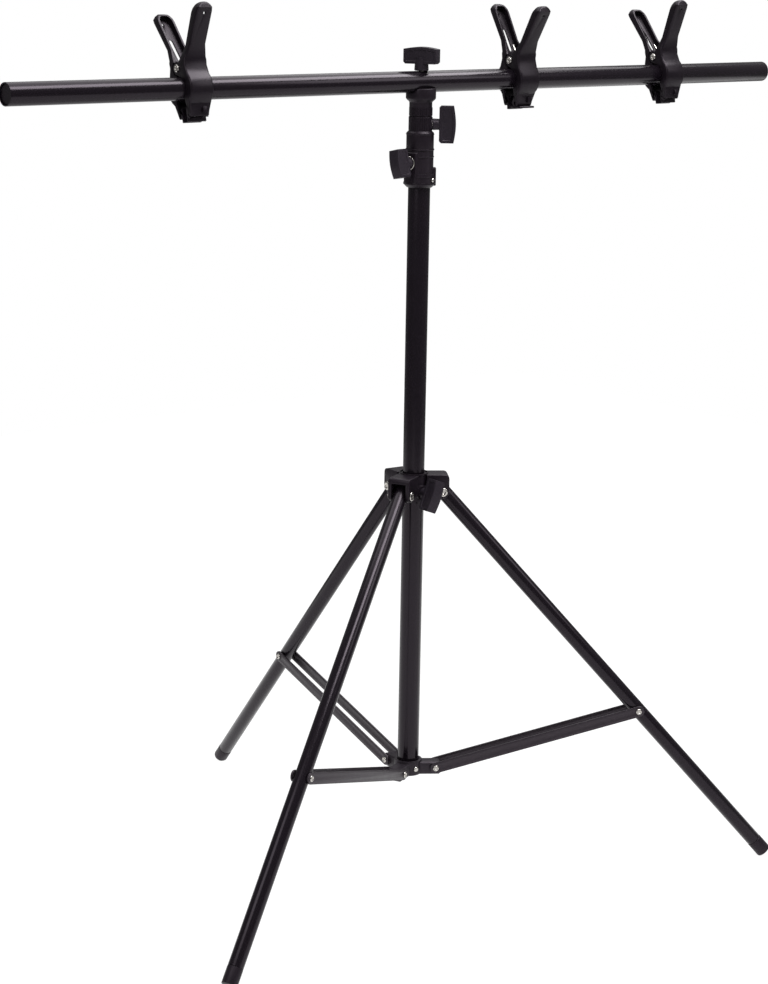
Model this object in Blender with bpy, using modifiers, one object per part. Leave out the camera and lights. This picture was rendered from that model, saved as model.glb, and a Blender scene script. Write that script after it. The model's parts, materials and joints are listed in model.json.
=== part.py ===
# Backdrop stand: a three-leg folding light stand with a collapsed three-section mast, a tee head,
# a straight crossbar and three spring clamps that grip it. Metres, +Z up. The origin is on the
# floor, in the middle of the stand's outline. The crossbar runs along X.

import math

import bmesh
import bpy

# Clearances
GAP = 0.0003            # between pieces that touch
SLIP = 0.0003           # radial, between a tube and what slides or seats on it

# Tubes, outer radius and wall
LOWER_MAST_RADIUS = 0.0115
MIDDLE_TUBE_RADIUS = 0.0100
TOP_TUBE_RADIUS = 0.0085
MAST_WALL = 0.0012
LEG_RADIUS = 0.0080
LEG_WALL = 0.0010
BAR_RADIUS = 0.0110
BAR_WALL = 0.0012

# Mast and crossbar lengths
LOWER_MAST_LENGTH = 0.6530
MIDDLE_TUBE_LENGTH = 0.6600
TOP_TUBE_LENGTH = 0.6700
BAR_LEFT = 0.4932       # mast axis to the crossbar's left end, over the plug
BAR_RIGHT = 0.5132
BAR_HEIGHT_OVER_TEE = 0.0350    # crossbar's axis over the tee's lower end
PLUG_RIM = 0.0086
PLUG_SPIGOT = 0.0150
PLUG_RECESS = 0.0020
PLUG_CHAMFER = 0.0010

# Legs and their pivots on the leg collar
LEG_LENGTH = 0.5515     # pivot to the end of the foot
LEG_OVERRUN = 0.0090    # tube above the pivot
LEG_TILT = math.radians(41.86)
LEG_AZIMUTHS = [math.radians(angle) for angle in (-35, 85, 205)]
LEG_PIVOT_RADIUS = 0.0308
FOOT_LENGTH = 0.0300
FOOT_WALL = 0.0002      # foot's skin over the leg, kept thin so that it folds between the braces
FOOT_SPIGOT = 0.0120
FOOT_EDGE = 0.0006
FOOT_LAND = 0.0010      # depth of the flat on the foot where it stands on the floor

# Braces: two strips to each, from the lower hub to the leg
BRACE_ALONG_LEG = 0.3295
BRACE_HEIGHT = 0.0120
BRACE_THICKNESS = 0.0020
HUB_PIVOT_RADIUS = 0.0297
HUB_PIVOT_HEIGHT = 0.1073
HUB_ABOVE_PIVOT = 0.0085
HUB_ARM_ABOVE_PIVOT = 0.0062    # low enough for a folded leg's foot to stand over it
HUB_BELOW_PIVOT = 0.0075
HUB_FLOOR = 0.0015
HUB_RING_WALL = 0.0032
HUB_ARM_OVERRUN = 0.0050
HUB_CHAMFER = 0.0010
HUB_SCREW_RADIUS = 0.0028

# Rivets
PIN_RADIUS = 0.0020
PIN_CLEARANCE = 0.0003
LEG_PIN_HEAD_RADIUS = 0.00475
SMALL_HEAD_RADIUS = 0.00325
HEAD_THICKNESS = 0.0012

# Leg collar
COLLAR_WALL = 0.0033
CHEEK_THICKNESS = 0.0040
FORK_REACH = 0.0065     # fork beyond the leg pivot
FORK_TOP = 0.0187       # above the leg pivot
FORK_ROOF = 0.0058
FORK_BELOW = 0.0070
LEG_COLLAR_BOSS = 0.0190    # radius of the screw boss's face
BOSS_RADIUS = 0.0080
COLLAR_BELOW = 0.0100   # collar's lower end under the leg pivot
FORK_CORNER = 0.0040
FORK_ROOT = 0.0015      # solid fork between the collar's wall and the slot

# Mast collars, clamping the middle and the top section
COLLAR_SEAT = 0.0180    # length of tube held in a collar's skirt
LOWER_COLLAR_LEDGE = 0.0013
LOWER_COLLAR_TOP_LENGTH = 0.0182
LOWER_SHOULDER_DROP = 0.0037    # skirt's shoulder under the lower mast's end
LOWER_COLLAR_SKIRT_WALL = 0.0040
LOWER_COLLAR_TOP_WALL = 0.0040
LOWER_COLLAR_BOSS = 0.0161
LOWER_KNOB_RISE = 0.0074        # knob over the ledge
SKIRT_TAPER = 0.0035
SKIRT_EDGE = 0.0012
SKIRT_LIP = 0.0009
SKIRT_LIP_HEIGHT = 0.0018
LUG_BELOW_TOP = 0.0014      # screw lug's upper end under the collar's
EAR_REACH = 0.0170          # rib on the skirt's side
EAR_THICKNESS = 0.0090
EAR_FOOT = 0.0020           # above the collar's lower end
EAR_HEIGHT = 0.0186
UPPER_COLLAR_SKIRT_WALL = 0.0040
UPPER_COLLAR_TOP_WALL = 0.0034
UPPER_COLLAR_TOP_LENGTH = 0.0150
UPPER_COLLAR_SHOULDER = 0.0189  # above the collar's lower end
UPPER_COLLAR_BOSS = 0.0123
UPPER_BOSS_RADIUS = 0.0065
SHOULDER_CHAMFER = 0.0010

# Tee head
TEE_WALL = 0.0031
TEE_FLARE_START = 0.0145    # above the tee's lower end
TEE_FLARE_END = 0.0180
TEE_SADDLE_RADIUS = 0.0156
TEE_SADDLE_RISE = 0.0045    # saddle's rim over the crossbar's lowest line
TEE_SOCKET = 0.0118

# Wing knobs and their screws
LEG_WING_LENGTH = 0.0340
LOWER_WING_LENGTH = 0.0290
UPPER_WING_LENGTH = 0.0380
TOP_WING_LENGTH = 0.0360
WING_THICKNESS = 0.0120
WING_DEPTH = 0.0150
WING_CROWN = 0.0022
WING_CHAMFER = 0.0020       # on the wing's inner corners, clear of the rivets beside it
EDGE_BEVEL = 0.0012
KNOB_STEM_RADIUS = 0.0060
KNOB_STEM_LENGTH = 0.0055
TOP_STEM_RADIUS = 0.0074
SCREW_RADIUS = 0.0025
SCREW_GRIP = 0.0080     # screw inside the knob
WASHER_RADIUS = 0.0070
WASHER_THICKNESS = 0.0010
TOP_BOLT_TAIL = 0.0095      # bolt below the crossbar, inside the tee
LEG_KNOB_AZIMUTH = math.radians(265)
LEG_KNOB_TURN = math.radians(-24)
LOWER_KNOB_AZIMUTH = math.radians(190)
LOWER_KNOB_TURN = math.radians(13)
UPPER_KNOB_AZIMUTH = math.radians(-40)
TOP_KNOB_TURN = math.radians(-60)
EAR_AZIMUTH = math.radians(-38)
COLLAR_SCREW_AZIMUTH = math.radians(-72)
COLLAR_SCREW_RADIUS = 0.0022
COLLAR_SCREW_RISE = 0.0081      # above the collar's lower end
SCREW_HEAD = 0.0014

# Spring clamps, sizes in the plane across the crossbar
CLAMP_PLACES = (-0.2880, 0.1346, 0.3525)
CLAMP_TILTS = [math.radians(angle) for angle in (-11.4, 0, -10)]
CLAMP_WIDTH = 0.0270
CLAMP_HANDLE_WIDTH = 0.0185
CLAMP_TIP_WIDTH = 0.0210
CLAMP_SHOULDER = 0.0065     # full width up to here over the pivot
CLAMP_NECK = 0.0200         # handle's width from here
CLAMP_WALL = 0.0020
CLAMP_PIVOT_RISE = 0.0195       # pivot over the crossbar's axis
CLAMP_BULGE_WALL = 0.0090       # lever's outer face beyond the crossbar's surface
CLAMP_HANDLE_RISE = 0.0773
CLAMP_HANDLE_SPREAD = 0.0372
CLAMP_HANDLE_DEPTH = 0.0085
CLAMP_WAIST = ((0.0130, 0.0015), (0.0138, 0.0085))  # outer face beside the pivot
CLAMP_HANDLE_ROOT = (0.0085, 0.0130)    # inner edge of the flanges over the ear
CLAMP_JAW_DROP = 0.0275
JAW_BEYOND_PAD = 0.0030     # jaw's outer face beyond the pad's pivot
JAW_END_WALL = 0.0010        # floor of the channel at the jaw's tip
CLAMP_EAR_RADIUS = 0.0062
EAR_RELIEF = 0.0014         # room round the outer ears
EAR_OVERLAP = 0.0004        # inner ears into the flanges beside them
EAR_ROOT = ((0.0122, -0.0060), (0.0126, 0.0075))
CLAMP_PIN_RADIUS = 0.0024
CLAMP_PIN_HEAD_RADIUS = 0.0036
CLAMP_SLOT_WIDTH = 0.0042
CLAMP_SLOT_LENGTH = 0.0225
CLAMP_SLOT_RISE = 0.0195        # slot's middle over the pivot, in the rear lever alone
CLAMP_HOLE_RADIUS = 0.0014
CLAMP_HOLE_DROP = 0.0110        # below the handle's tip
SPRING_RADIUS = 0.0042
SPRING_WIRE_RADIUS = 0.0007
SPRING_CURLS = 4
SPRING_PITCH = 0.0021
SPRING_LEG_RISE = 0.0150    # end of a spring leg over the pivot
POINTS_PER_CURL = 9
PAD_PIVOT_OUT = 0.0080
PAD_PIVOT_DROP = 0.0250
PAD_STANDOFF = 0.0030
PAD_THICKNESS = 0.0020
PAD_HALF_HEIGHT = 0.0070
PAD_WIDTH = 0.0210
PAD_BARREL_RADIUS = 0.0015
PAD_EDGE = 0.0005
PAD_NECK_WIDTH = 0.0080
PAD_NECK_THICKNESS = 0.0016
PAD_LUG = 0.0022            # jaw's lug round the pad's barrel
NOTCH_DEPTH = 0.0080        # notch in the jaw's tip, in which the pad's neck swings
NOTCH_HEIGHT = 0.0060
FLIPPED_PAD = (2, "front")      # this pad has swung flat under its jaw

# Facets round a full turn
TUBE_STEPS = 32
LEG_STEPS = 20
SMALL_STEPS = 12

# Lengths of the tools that drill and cut, past every wall that they go through
DRILL = 0.0400
SHORT_DRILL = 0.0120

# Heights and places that follow from the sizes above
foot_radius = LEG_RADIUS + FOOT_WALL
leg_pivot_height = LEG_LENGTH * math.cos(LEG_TILT) + foot_radius * math.sin(LEG_TILT) - FOOT_LAND
mast_bottom = HUB_PIVOT_HEIGHT - HUB_BELOW_PIVOT + HUB_FLOOR + GAP
mast_top = mast_bottom + LOWER_MAST_LENGTH
lower_collar_bottom = mast_top - COLLAR_SEAT
lower_collar_ledge = mast_top + GAP
lower_collar_top = lower_collar_ledge + LOWER_COLLAR_LEDGE + LOWER_COLLAR_TOP_LENGTH
upper_collar_bottom = lower_collar_top + GAP
upper_collar_ledge = upper_collar_bottom + COLLAR_SEAT + LOWER_COLLAR_LEDGE + GAP
upper_collar_top = upper_collar_ledge + UPPER_COLLAR_TOP_LENGTH
middle_tube_top = upper_collar_ledge - GAP
tee_bottom = upper_collar_top + GAP
top_tube_top = tee_bottom + TEE_SOCKET
bar_height = tee_bottom + BAR_HEIGHT_OVER_TEE
foot_reach = LEG_PIVOT_RADIUS + LEG_LENGTH * math.sin(LEG_TILT) + foot_radius * math.cos(LEG_TILT)
foot_sides = [foot_reach * math.sin(azimuth) for azimuth in LEG_AZIMUTHS]
mast_x = (BAR_LEFT - BAR_RIGHT) / 2
mast_y = -(max(foot_sides) + min(foot_sides)) / 2
strip_offset = LEG_RADIUS + GAP + BRACE_THICKNESS / 2
cheek_inner = LEG_RADIUS + GAP
cheek_outer = cheek_inner + CHEEK_THICKNESS


def new_collection(name):
    collection = bpy.data.collections.new(name)
    bpy.context.scene.collection.children.link(collection)
    return collection


def new_material(name, colour, roughness, metallic):
    material = bpy.data.materials.new(name)
    material.use_nodes = True
    shader = material.node_tree.nodes["Principled BSDF"]
    shader.inputs["Base Color"].default_value = (*colour, 1)
    shader.inputs["Roughness"].default_value = roughness
    shader.inputs["Metallic"].default_value = metallic
    return material


def new_object(name, data, parent, place, turn, material):
    item = bpy.data.objects.new(name, data)
    parts.objects.link(item)
    item.parent = parent
    item.location = place
    item.rotation_euler = turn
    if material:
        data.materials.append(material)
    return item


def new_frame(name, place, turn=(0, 0, 0), parent=None):
    """An empty that carries the pieces of one joint, with its origin on the joint's axis."""
    frame = bpy.data.objects.new(name, None)
    parts.objects.link(frame)
    frame.parent = parent
    frame.location = place
    frame.rotation_euler = turn
    return frame


def turned(name, profile, steps, parent, material=None, place=(0, 0, 0), turn=(0, 0, 0), ring=False):
    """A turned shape: profile points (radius, height) run down the outer side first."""
    mesh = bpy.data.meshes.new(name)
    edges = [(index, index + 1) for index in range(len(profile) - 1)]
    if ring:
        edges.append((len(profile) - 1, 0))
    mesh.from_pydata([(radius, 0, height) for radius, height in profile], edges, [])
    item = new_object(name, mesh, parent, place, turn, material)
    screw = item.modifiers.new("Turn", 'SCREW')
    screw.steps = steps
    screw.render_steps = steps
    screw.use_merge_vertices = True
    screw.merge_threshold = 0.00001
    screw.use_smooth_shade = True
    return item


def tube(name, outer, wall, bottom, top, steps, parent, material):
    profile = [(outer, top), (outer, bottom), (outer - wall, bottom), (outer - wall, top)]
    return turned(name, profile, steps, parent, material, ring=True)


def plate(name, outlines, thickness, parent, material=None, place=(0, 0, 0), turn=(0, 0, 0)):
    """A flat outline in the local XY plane, with any holes, thickened evenly along local Z."""
    curve = bpy.data.curves.new(name, 'CURVE')
    curve.dimensions = '2D'
    curve.fill_mode = 'BOTH'
    curve.extrude = thickness / 2
    for outline in outlines:
        spline = curve.splines.new('POLY')
        spline.points.add(len(outline) - 1)
        for point, (x, y) in zip(spline.points, outline):
            point.co = (x, y, 0, 1)
        spline.use_cyclic_u = True
    return curve_to_mesh(name, curve, parent, material, place, turn)


def curve_to_mesh(name, curve, parent, material, place, turn):
    drawn = bpy.data.objects.new(name + "_curve", curve)
    parts.objects.link(drawn)
    graph = bpy.context.evaluated_depsgraph_get()
    mesh = bpy.data.meshes.new_from_object(drawn.evaluated_get(graph))
    bpy.data.objects.remove(drawn)
    shape = bmesh.new()
    shape.from_mesh(mesh)
    bmesh.ops.remove_doubles(shape, verts=shape.verts, dist=0.00001)
    bmesh.ops.recalc_face_normals(shape, faces=shape.faces)
    shape.to_mesh(mesh)
    shape.free()
    mesh.materials.clear()
    return new_object(name, mesh, parent, place, turn, material)


def block(name, size, parent, place, turn=(0, 0, 0), material=None):
    mesh = bpy.data.meshes.new(name)
    shape = bmesh.new()
    bmesh.ops.create_cube(shape, size=1)
    bmesh.ops.scale(shape, vec=size, verts=shape.verts)
    shape.to_mesh(mesh)
    shape.free()
    return new_object(name, mesh, parent, place, turn, material)


def rod(name, radius, length, parent, place, turn=(0, 0, 0), steps=SMALL_STEPS, material=None):
    """A plain cylinder along local Z, centred on its place."""
    mesh = bpy.data.meshes.new(name)
    shape = bmesh.new()
    bmesh.ops.create_cone(
        shape, cap_ends=True, segments=steps, radius1=radius, radius2=radius, depth=length)
    shape.to_mesh(mesh)
    shape.free()
    return new_object(name, mesh, parent, place, turn, material)


def combine(target, tool, operation):
    """Boolean of target with tool, which then only shows as a wire guide."""
    modifier = target.modifiers.new(operation.title(), 'BOOLEAN')
    modifier.operation = operation
    modifier.solver = 'EXACT'
    modifier.object = tool
    parts.objects.unlink(tool)
    cutters.objects.link(tool)
    tool.hide_render = True
    tool.display_type = 'WIRE'


def round_edges(item, width, segments=2):
    bevel = item.modifiers.new("Round", 'BEVEL')
    bevel.width = width
    bevel.segments = segments
    bevel.limit_method = 'ANGLE'
    bevel.angle_limit = math.radians(40)


def arc(centre, radius, start, end, count):
    """Points along an arc, angles in degrees, both ends included."""
    angles = [math.radians(start + (end - start) * index / (count - 1)) for index in range(count)]
    return [(centre[0] + radius * math.cos(a), centre[1] + radius * math.sin(a)) for a in angles]


def rivet(name, reach, head_radius, parent, place=(0, 0, 0)):
    """A rivet along local Y with a head at each end; reach is from its middle to under a head."""
    top = reach + GAP + HEAD_THICKNESS
    under = reach + GAP
    rim = head_radius * 0.75
    profile = [
        (0, top), (rim, top), (head_radius, top - HEAD_THICKNESS * 0.5), (head_radius, under),
        (PIN_RADIUS, under), (PIN_RADIUS, -under), (head_radius, -under),
        (head_radius, HEAD_THICKNESS * 0.5 - top), (rim, -top), (0, -top)]
    return turned(name, profile, SMALL_STEPS, parent, nickel, place, (math.pi / 2, 0, 0))


def wing_knob(name, frame, length, stem_radius, turn=0.0, depth=WING_DEPTH):
    """A moulded wing on a stem along the frame's +Z, with a blind bore for its screw."""
    stem_start = WASHER_THICKNESS + 2 * GAP
    stem_end = stem_start + KNOB_STEM_LENGTH
    half = length / 2
    crown = [
        (half * (1 - 2 * step / 8), stem_end + depth + WING_CROWN * math.sin(math.pi * step / 8))
        for step in range(9)]
    root = half - WING_CHAMFER
    outline = [
        (-half, stem_end + WING_CHAMFER), (-root, stem_end), (root, stem_end),
        (half, stem_end + WING_CHAMFER)] + crown
    head = plate(name, [outline], WING_THICKNESS, frame, black_plastic, turn=(math.pi / 2, 0, turn))
    round_edges(head, EDGE_BEVEL)
    stem_length = stem_end + depth * 0.4 - stem_start
    stem = rod(name + "_stem", stem_radius, stem_length, frame,
               (0, 0, stem_start + stem_length / 2), steps=20)
    combine(head, stem, 'UNION')
    bore_length = SCREW_GRIP + 2 * GAP
    bore = rod(name + "_bore", SCREW_RADIUS + GAP, bore_length, frame,
               (0, 0, stem_start - GAP + bore_length / 2))
    combine(head, bore, 'DIFFERENCE')
    return head


def knob_screw(name, frame, reach, washer_radius):
    """Steel screw along the frame's Z with its washer; reach is how far it goes in below Z = 0."""
    washer_top = GAP + WASHER_THICKNESS
    profile = [
        (0, washer_top + SCREW_GRIP), (SCREW_RADIUS, washer_top + SCREW_GRIP),
        (SCREW_RADIUS, washer_top), (washer_radius, washer_top), (washer_radius, GAP),
        (SCREW_RADIUS, GAP), (SCREW_RADIUS, -reach), (0, -reach)]
    return turned(name, profile, SMALL_STEPS, frame, nickel)


def radial_frame(name, azimuth, radius, height):
    """A frame whose +Z points away from the mast at this azimuth and height."""
    place = (radius * math.cos(azimuth), radius * math.sin(azimuth), height)
    return new_frame(name, place, (0, math.pi / 2, azimuth), axis)


def lower_hub():
    """Cast hub under the mast: a closed ring with three arms that the braces straddle."""
    bottom = HUB_PIVOT_HEIGHT - HUB_BELOW_PIVOT
    top = HUB_PIVOT_HEIGHT + HUB_ABOVE_PIVOT
    bore = LOWER_MAST_RADIUS + SLIP
    outer = bore + HUB_RING_WALL
    profile = [
        (0, top), (outer, top), (outer, bottom + HUB_CHAMFER), (outer - HUB_CHAMFER, bottom), (0, bottom)]
    hub = turned("brace_hub", profile, TUBE_STEPS, axis, cast_metal)
    arm_top = HUB_PIVOT_HEIGHT + HUB_ARM_ABOVE_PIVOT
    tip = HUB_PIVOT_RADIUS + HUB_ARM_OVERRUN
    for number, azimuth in enumerate(LEG_AZIMUTHS, 1):
        arm_frame = new_frame(f"hub_arm_{number}_frame", (0, 0, 0), (0, 0, azimuth), axis)
        arm = block(
            f"hub_arm_{number}", (tip, 2 * LEG_RADIUS, arm_top - bottom), arm_frame,
            (tip / 2, 0, (arm_top + bottom) / 2))
        round_edges(arm, EDGE_BEVEL, 1)
        combine(hub, arm, 'UNION')
        hole = rod(
            f"hub_pin_hole_{number}", PIN_RADIUS + PIN_CLEARANCE, DRILL, arm_frame,
            (HUB_PIVOT_RADIUS, 0, HUB_PIVOT_HEIGHT), (math.pi / 2, 0, 0))
        combine(hub, hole, 'DIFFERENCE')
        rivet(
            f"hub_pin_{number}", LEG_RADIUS + GAP + BRACE_THICKNESS, SMALL_HEAD_RADIUS, arm_frame,
            (HUB_PIVOT_RADIUS, 0, HUB_PIVOT_HEIGHT))
    socket_depth = top - bottom - HUB_FLOOR
    socket = rod("hub_socket", bore, 2 * socket_depth, axis, (0, 0, top), steps=TUBE_STEPS)
    combine(hub, socket, 'DIFFERENCE')
    azimuth = LEG_AZIMUTHS[2] + math.radians(60)
    frame = radial_frame("hub_screw_frame", azimuth, outer, HUB_PIVOT_HEIGHT)
    hole = rod("hub_screw_hole", HUB_SCREW_RADIUS / 2 + GAP, SHORT_DRILL, frame, (0, 0, 0))
    combine(hub, hole, 'DIFFERENCE')
    headed_screw("hub_screw", frame, HUB_SCREW_RADIUS, outer - LOWER_MAST_RADIUS - GAP)


def headed_screw(name, frame, head_radius, reach):
    """A small pan-head screw: its head stands on Z = 0 and its shank reaches in to the tube."""
    shank = head_radius / 2
    profile = [
        (0, GAP + SCREW_HEAD), (head_radius * 0.7, GAP + SCREW_HEAD),
        (head_radius, GAP + SCREW_HEAD * 0.4), (head_radius, GAP), (shank, GAP),
        (shank, -reach), (0, -reach)]
    return turned(name, profile, SMALL_STEPS, frame, nickel)


def leg_collar():
    """Moulded collar that slides on the lower mast, with a fork over each leg."""
    top = leg_pivot_height + FORK_TOP
    bottom = leg_pivot_height - COLLAR_BELOW
    bore = LOWER_MAST_RADIUS + SLIP
    outer = bore + COLLAR_WALL
    profile = [(outer, top), (outer, bottom), (bore, bottom), (bore, top)]
    collar = turned("leg_collar", profile, TUBE_STEPS, axis, black_plastic, ring=True)
    reach = LEG_PIVOT_RADIUS + FORK_REACH
    start = bore + COLLAR_WALL * 0.4
    outline = [(start, top), (start, leg_pivot_height - FORK_BELOW + FORK_CORNER)]
    outline += arc((LEG_PIVOT_RADIUS, leg_pivot_height), FORK_BELOW, 230, 340, 6)
    outline += arc((reach - FORK_CORNER, top - FORK_CORNER), FORK_CORNER, 0, 90, 4)
    slot_top = top - FORK_ROOF
    slot_start = outer + FORK_ROOT
    for number, azimuth in enumerate(LEG_AZIMUTHS, 1):
        fork_frame = new_frame(f"fork_{number}_frame", (0, 0, 0), (0, 0, azimuth), axis)
        fork = plate(f"fork_{number}", [outline], 2 * cheek_outer, fork_frame, turn=(math.pi / 2, 0, 0))
        round_edges(fork, EDGE_BEVEL, 1)
        combine(collar, fork, 'UNION')
        slot = block(
            f"fork_slot_{number}", (DRILL, 2 * cheek_inner, DRILL), fork_frame,
            (slot_start + DRILL / 2, 0, slot_top - DRILL / 2))
        combine(collar, slot, 'DIFFERENCE')
        hole = rod(
            f"leg_pin_hole_{number}", PIN_RADIUS + PIN_CLEARANCE, DRILL, fork_frame,
            (LEG_PIVOT_RADIUS, 0, leg_pivot_height), (math.pi / 2, 0, 0))
        combine(collar, hole, 'DIFFERENCE')
        rivet(
            f"leg_pin_{number}", cheek_outer, LEG_PIN_HEAD_RADIUS, fork_frame,
            (LEG_PIVOT_RADIUS, 0, leg_pivot_height))
    frame = radial_frame("leg_knob_frame", LEG_KNOB_AZIMUTH, LEG_COLLAR_BOSS, leg_pivot_height)
    boss_and_screw(
        collar, "leg_collar", frame, LEG_COLLAR_BOSS, bore, LOWER_MAST_RADIUS, BOSS_RADIUS, LEG_WING_LENGTH,
        LEG_KNOB_TURN)
    bore_tool = rod("leg_collar_bore", bore, 4 * DRILL, axis, (0, 0, leg_pivot_height), steps=TUBE_STEPS)
    combine(collar, bore_tool, 'DIFFERENCE')
    hole = rod("leg_collar_screw_hole", SCREW_RADIUS + GAP, DRILL, frame, (0, 0, 0))
    combine(collar, hole, 'DIFFERENCE')


def boss_and_screw(collar, name, frame, face_radius, bore, tube_radius, boss_radius, length, turn=0.0):
    """Round screw boss on a collar, with the screw that presses on the tube and its knob."""
    wall = face_radius - bore
    boss = rod(name + "_boss", boss_radius, wall, frame, (0, 0, -wall / 2), steps=24)
    combine(collar, boss, 'UNION')
    washer_radius = min(WASHER_RADIUS, boss_radius)
    knob_screw(name + "_knob_screw", frame, face_radius - tube_radius - GAP, washer_radius)
    wing_knob(name + "_knob", frame, length, KNOB_STEM_RADIUS, turn)


def leg(number, azimuth):
    """One leg tube with its foot, built along the leg with the pivot at the local origin."""
    place = (LEG_PIVOT_RADIUS * math.cos(azimuth), LEG_PIVOT_RADIUS * math.sin(azimuth), leg_pivot_height)
    frame = new_frame(f"leg_{number}_frame", place, (0, -LEG_TILT, azimuth), axis)
    bottom = -(LEG_LENGTH - FOOT_LENGTH + FOOT_SPIGOT)
    tube_item = tube(
        f"leg_{number}", LEG_RADIUS, LEG_WALL, bottom, LEG_OVERRUN, LEG_STEPS, frame, black_paint)
    hole = rod(
        f"leg_{number}_pin_hole", PIN_RADIUS + PIN_CLEARANCE, DRILL, frame, (0, 0, 0),
        (math.pi / 2, 0, 0))
    combine(tube_item, hole, 'DIFFERENCE')
    end = -LEG_LENGTH
    inner = LEG_RADIUS - LEG_WALL - GAP
    seat = bottom - GAP
    profile = [
        (0, bottom + FOOT_SPIGOT), (inner, bottom + FOOT_SPIGOT), (inner, seat), (foot_radius, seat),
        (foot_radius, end + FOOT_EDGE), (foot_radius - FOOT_EDGE, end), (0, end)]
    foot = turned(f"foot_{number}", profile, LEG_STEPS, frame, rubber)
    out = foot_reach - foot_radius
    floor = block(
        f"foot_{number}_floor", (2 * DRILL, 2 * DRILL, DRILL), axis,
        (out * math.cos(azimuth), out * math.sin(azimuth), -DRILL / 2))
    combine(foot, floor, 'DIFFERENCE')


def brace(number, azimuth, rivet_side):
    """Two strips from the hub to the leg, one each side, with the near rivet head on the leg."""
    joint_radius = LEG_PIVOT_RADIUS + BRACE_ALONG_LEG * math.sin(LEG_TILT)
    joint_height = leg_pivot_height - BRACE_ALONG_LEG * math.cos(LEG_TILT)
    run = joint_radius - HUB_PIVOT_RADIUS
    rise = joint_height - HUB_PIVOT_HEIGHT
    length = math.hypot(run, rise)
    place = (HUB_PIVOT_RADIUS * math.cos(azimuth), HUB_PIVOT_RADIUS * math.sin(azimuth), HUB_PIVOT_HEIGHT)
    frame = new_frame(f"brace_{number}_frame", place, (0, -math.atan2(rise, run), azimuth), axis)
    half = BRACE_HEIGHT / 2
    outline = arc((0, 0), half, 270, 90, 9) + arc((length, 0), half, 90, -90, 9)
    hole = PIN_RADIUS + PIN_CLEARANCE
    holes = [arc((x, 0), hole, 0, 330, 12) for x in (0, length)]
    for side, sign in (("left", 1), ("right", -1)):
        plate(
            f"brace_{number}_{side}", [outline] + holes, BRACE_THICKNESS, frame, black_paint,
            (0, sign * strip_offset, 0), (math.pi / 2, 0, 0))
    face = LEG_RADIUS + GAP + BRACE_THICKNESS + GAP
    shank = LEG_RADIUS + GAP
    profile = [
        (0, face + HEAD_THICKNESS), (SMALL_HEAD_RADIUS * 0.75, face + HEAD_THICKNESS),
        (SMALL_HEAD_RADIUS, face + HEAD_THICKNESS * 0.5), (SMALL_HEAD_RADIUS, face),
        (PIN_RADIUS, face), (PIN_RADIUS, shank), (0, shank)]
    turned(
        f"brace_{number}_rivet", profile, SMALL_STEPS, frame, nickel, (length, 0, 0),
        (-rivet_side * math.pi / 2, 0, 0))


def lower_mast_collar():
    """Collar fixed on the lower mast by a small screw; its knob clamps the middle section."""
    skirt_bore = LOWER_MAST_RADIUS + SLIP
    top_bore = MIDDLE_TUBE_RADIUS + SLIP
    skirt = skirt_bore + LOWER_COLLAR_SKIRT_WALL
    upper = top_bore + LOWER_COLLAR_TOP_WALL
    shoulder = lower_collar_ledge - LOWER_SHOULDER_DROP
    lip = lower_collar_bottom + SKIRT_TAPER
    profile = [
        (0, lower_collar_top), (upper, lower_collar_top), (upper, shoulder), (skirt, shoulder),
        (skirt, lip + SKIRT_LIP_HEIGHT), (skirt + SKIRT_LIP, lip + SKIRT_LIP_HEIGHT),
        (skirt + SKIRT_LIP, lip), (skirt_bore + SKIRT_EDGE, lower_collar_bottom),
        (0, lower_collar_bottom)]
    collar = turned("lower_mast_collar", profile, TUBE_STEPS, axis, black_plastic)
    lug_foot = lip + SKIRT_LIP_HEIGHT / 2
    lug_top = lower_collar_top - LUG_BELOW_TOP
    collar_side(
        collar, "lower_lug", LOWER_KNOB_AZIMUTH, LOWER_COLLAR_BOSS, 2 * BOSS_RADIUS, lug_foot, lug_top)
    ear_foot = lower_collar_bottom + EAR_FOOT
    collar_side(
        collar, "lower_ear", EAR_AZIMUTH, EAR_REACH, EAR_THICKNESS, ear_foot, ear_foot + EAR_HEIGHT)
    height = lower_collar_ledge + LOWER_KNOB_RISE
    frame = radial_frame("lower_knob_frame", LOWER_KNOB_AZIMUTH, LOWER_COLLAR_BOSS, height)
    reach = LOWER_COLLAR_BOSS - MIDDLE_TUBE_RADIUS - GAP
    knob_screw("lower_mast_collar_knob_screw", frame, reach, WASHER_RADIUS)
    wing_knob("lower_mast_collar_knob", frame, LOWER_WING_LENGTH, KNOB_STEM_RADIUS, LOWER_KNOB_TURN)
    finish_collar(collar, "lower", top_bore, lower_collar_ledge, skirt_bore, frame)
    screw_height = lower_collar_bottom + COLLAR_SCREW_RISE
    screw_frame = radial_frame("collar_screw_frame", COLLAR_SCREW_AZIMUTH, skirt, screw_height)
    hole = rod("collar_screw_hole", COLLAR_SCREW_RADIUS / 2 + GAP, SHORT_DRILL, screw_frame, (0, 0, 0))
    combine(collar, hole, 'DIFFERENCE')
    headed_screw("collar_screw", screw_frame, COLLAR_SCREW_RADIUS, skirt - LOWER_MAST_RADIUS - GAP)


def collar_side(collar, name, azimuth, reach, width, bottom, top):
    """A flat-faced block on a collar's side, from its axis out to this reach."""
    frame = new_frame(name + "_frame", (0, 0, 0), (0, 0, azimuth), axis)
    side = block(name, (reach, width, top - bottom), frame, (reach / 2, 0, (bottom + top) / 2))
    round_edges(side, EDGE_BEVEL / 2, 1)
    combine(collar, side, 'UNION')


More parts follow.
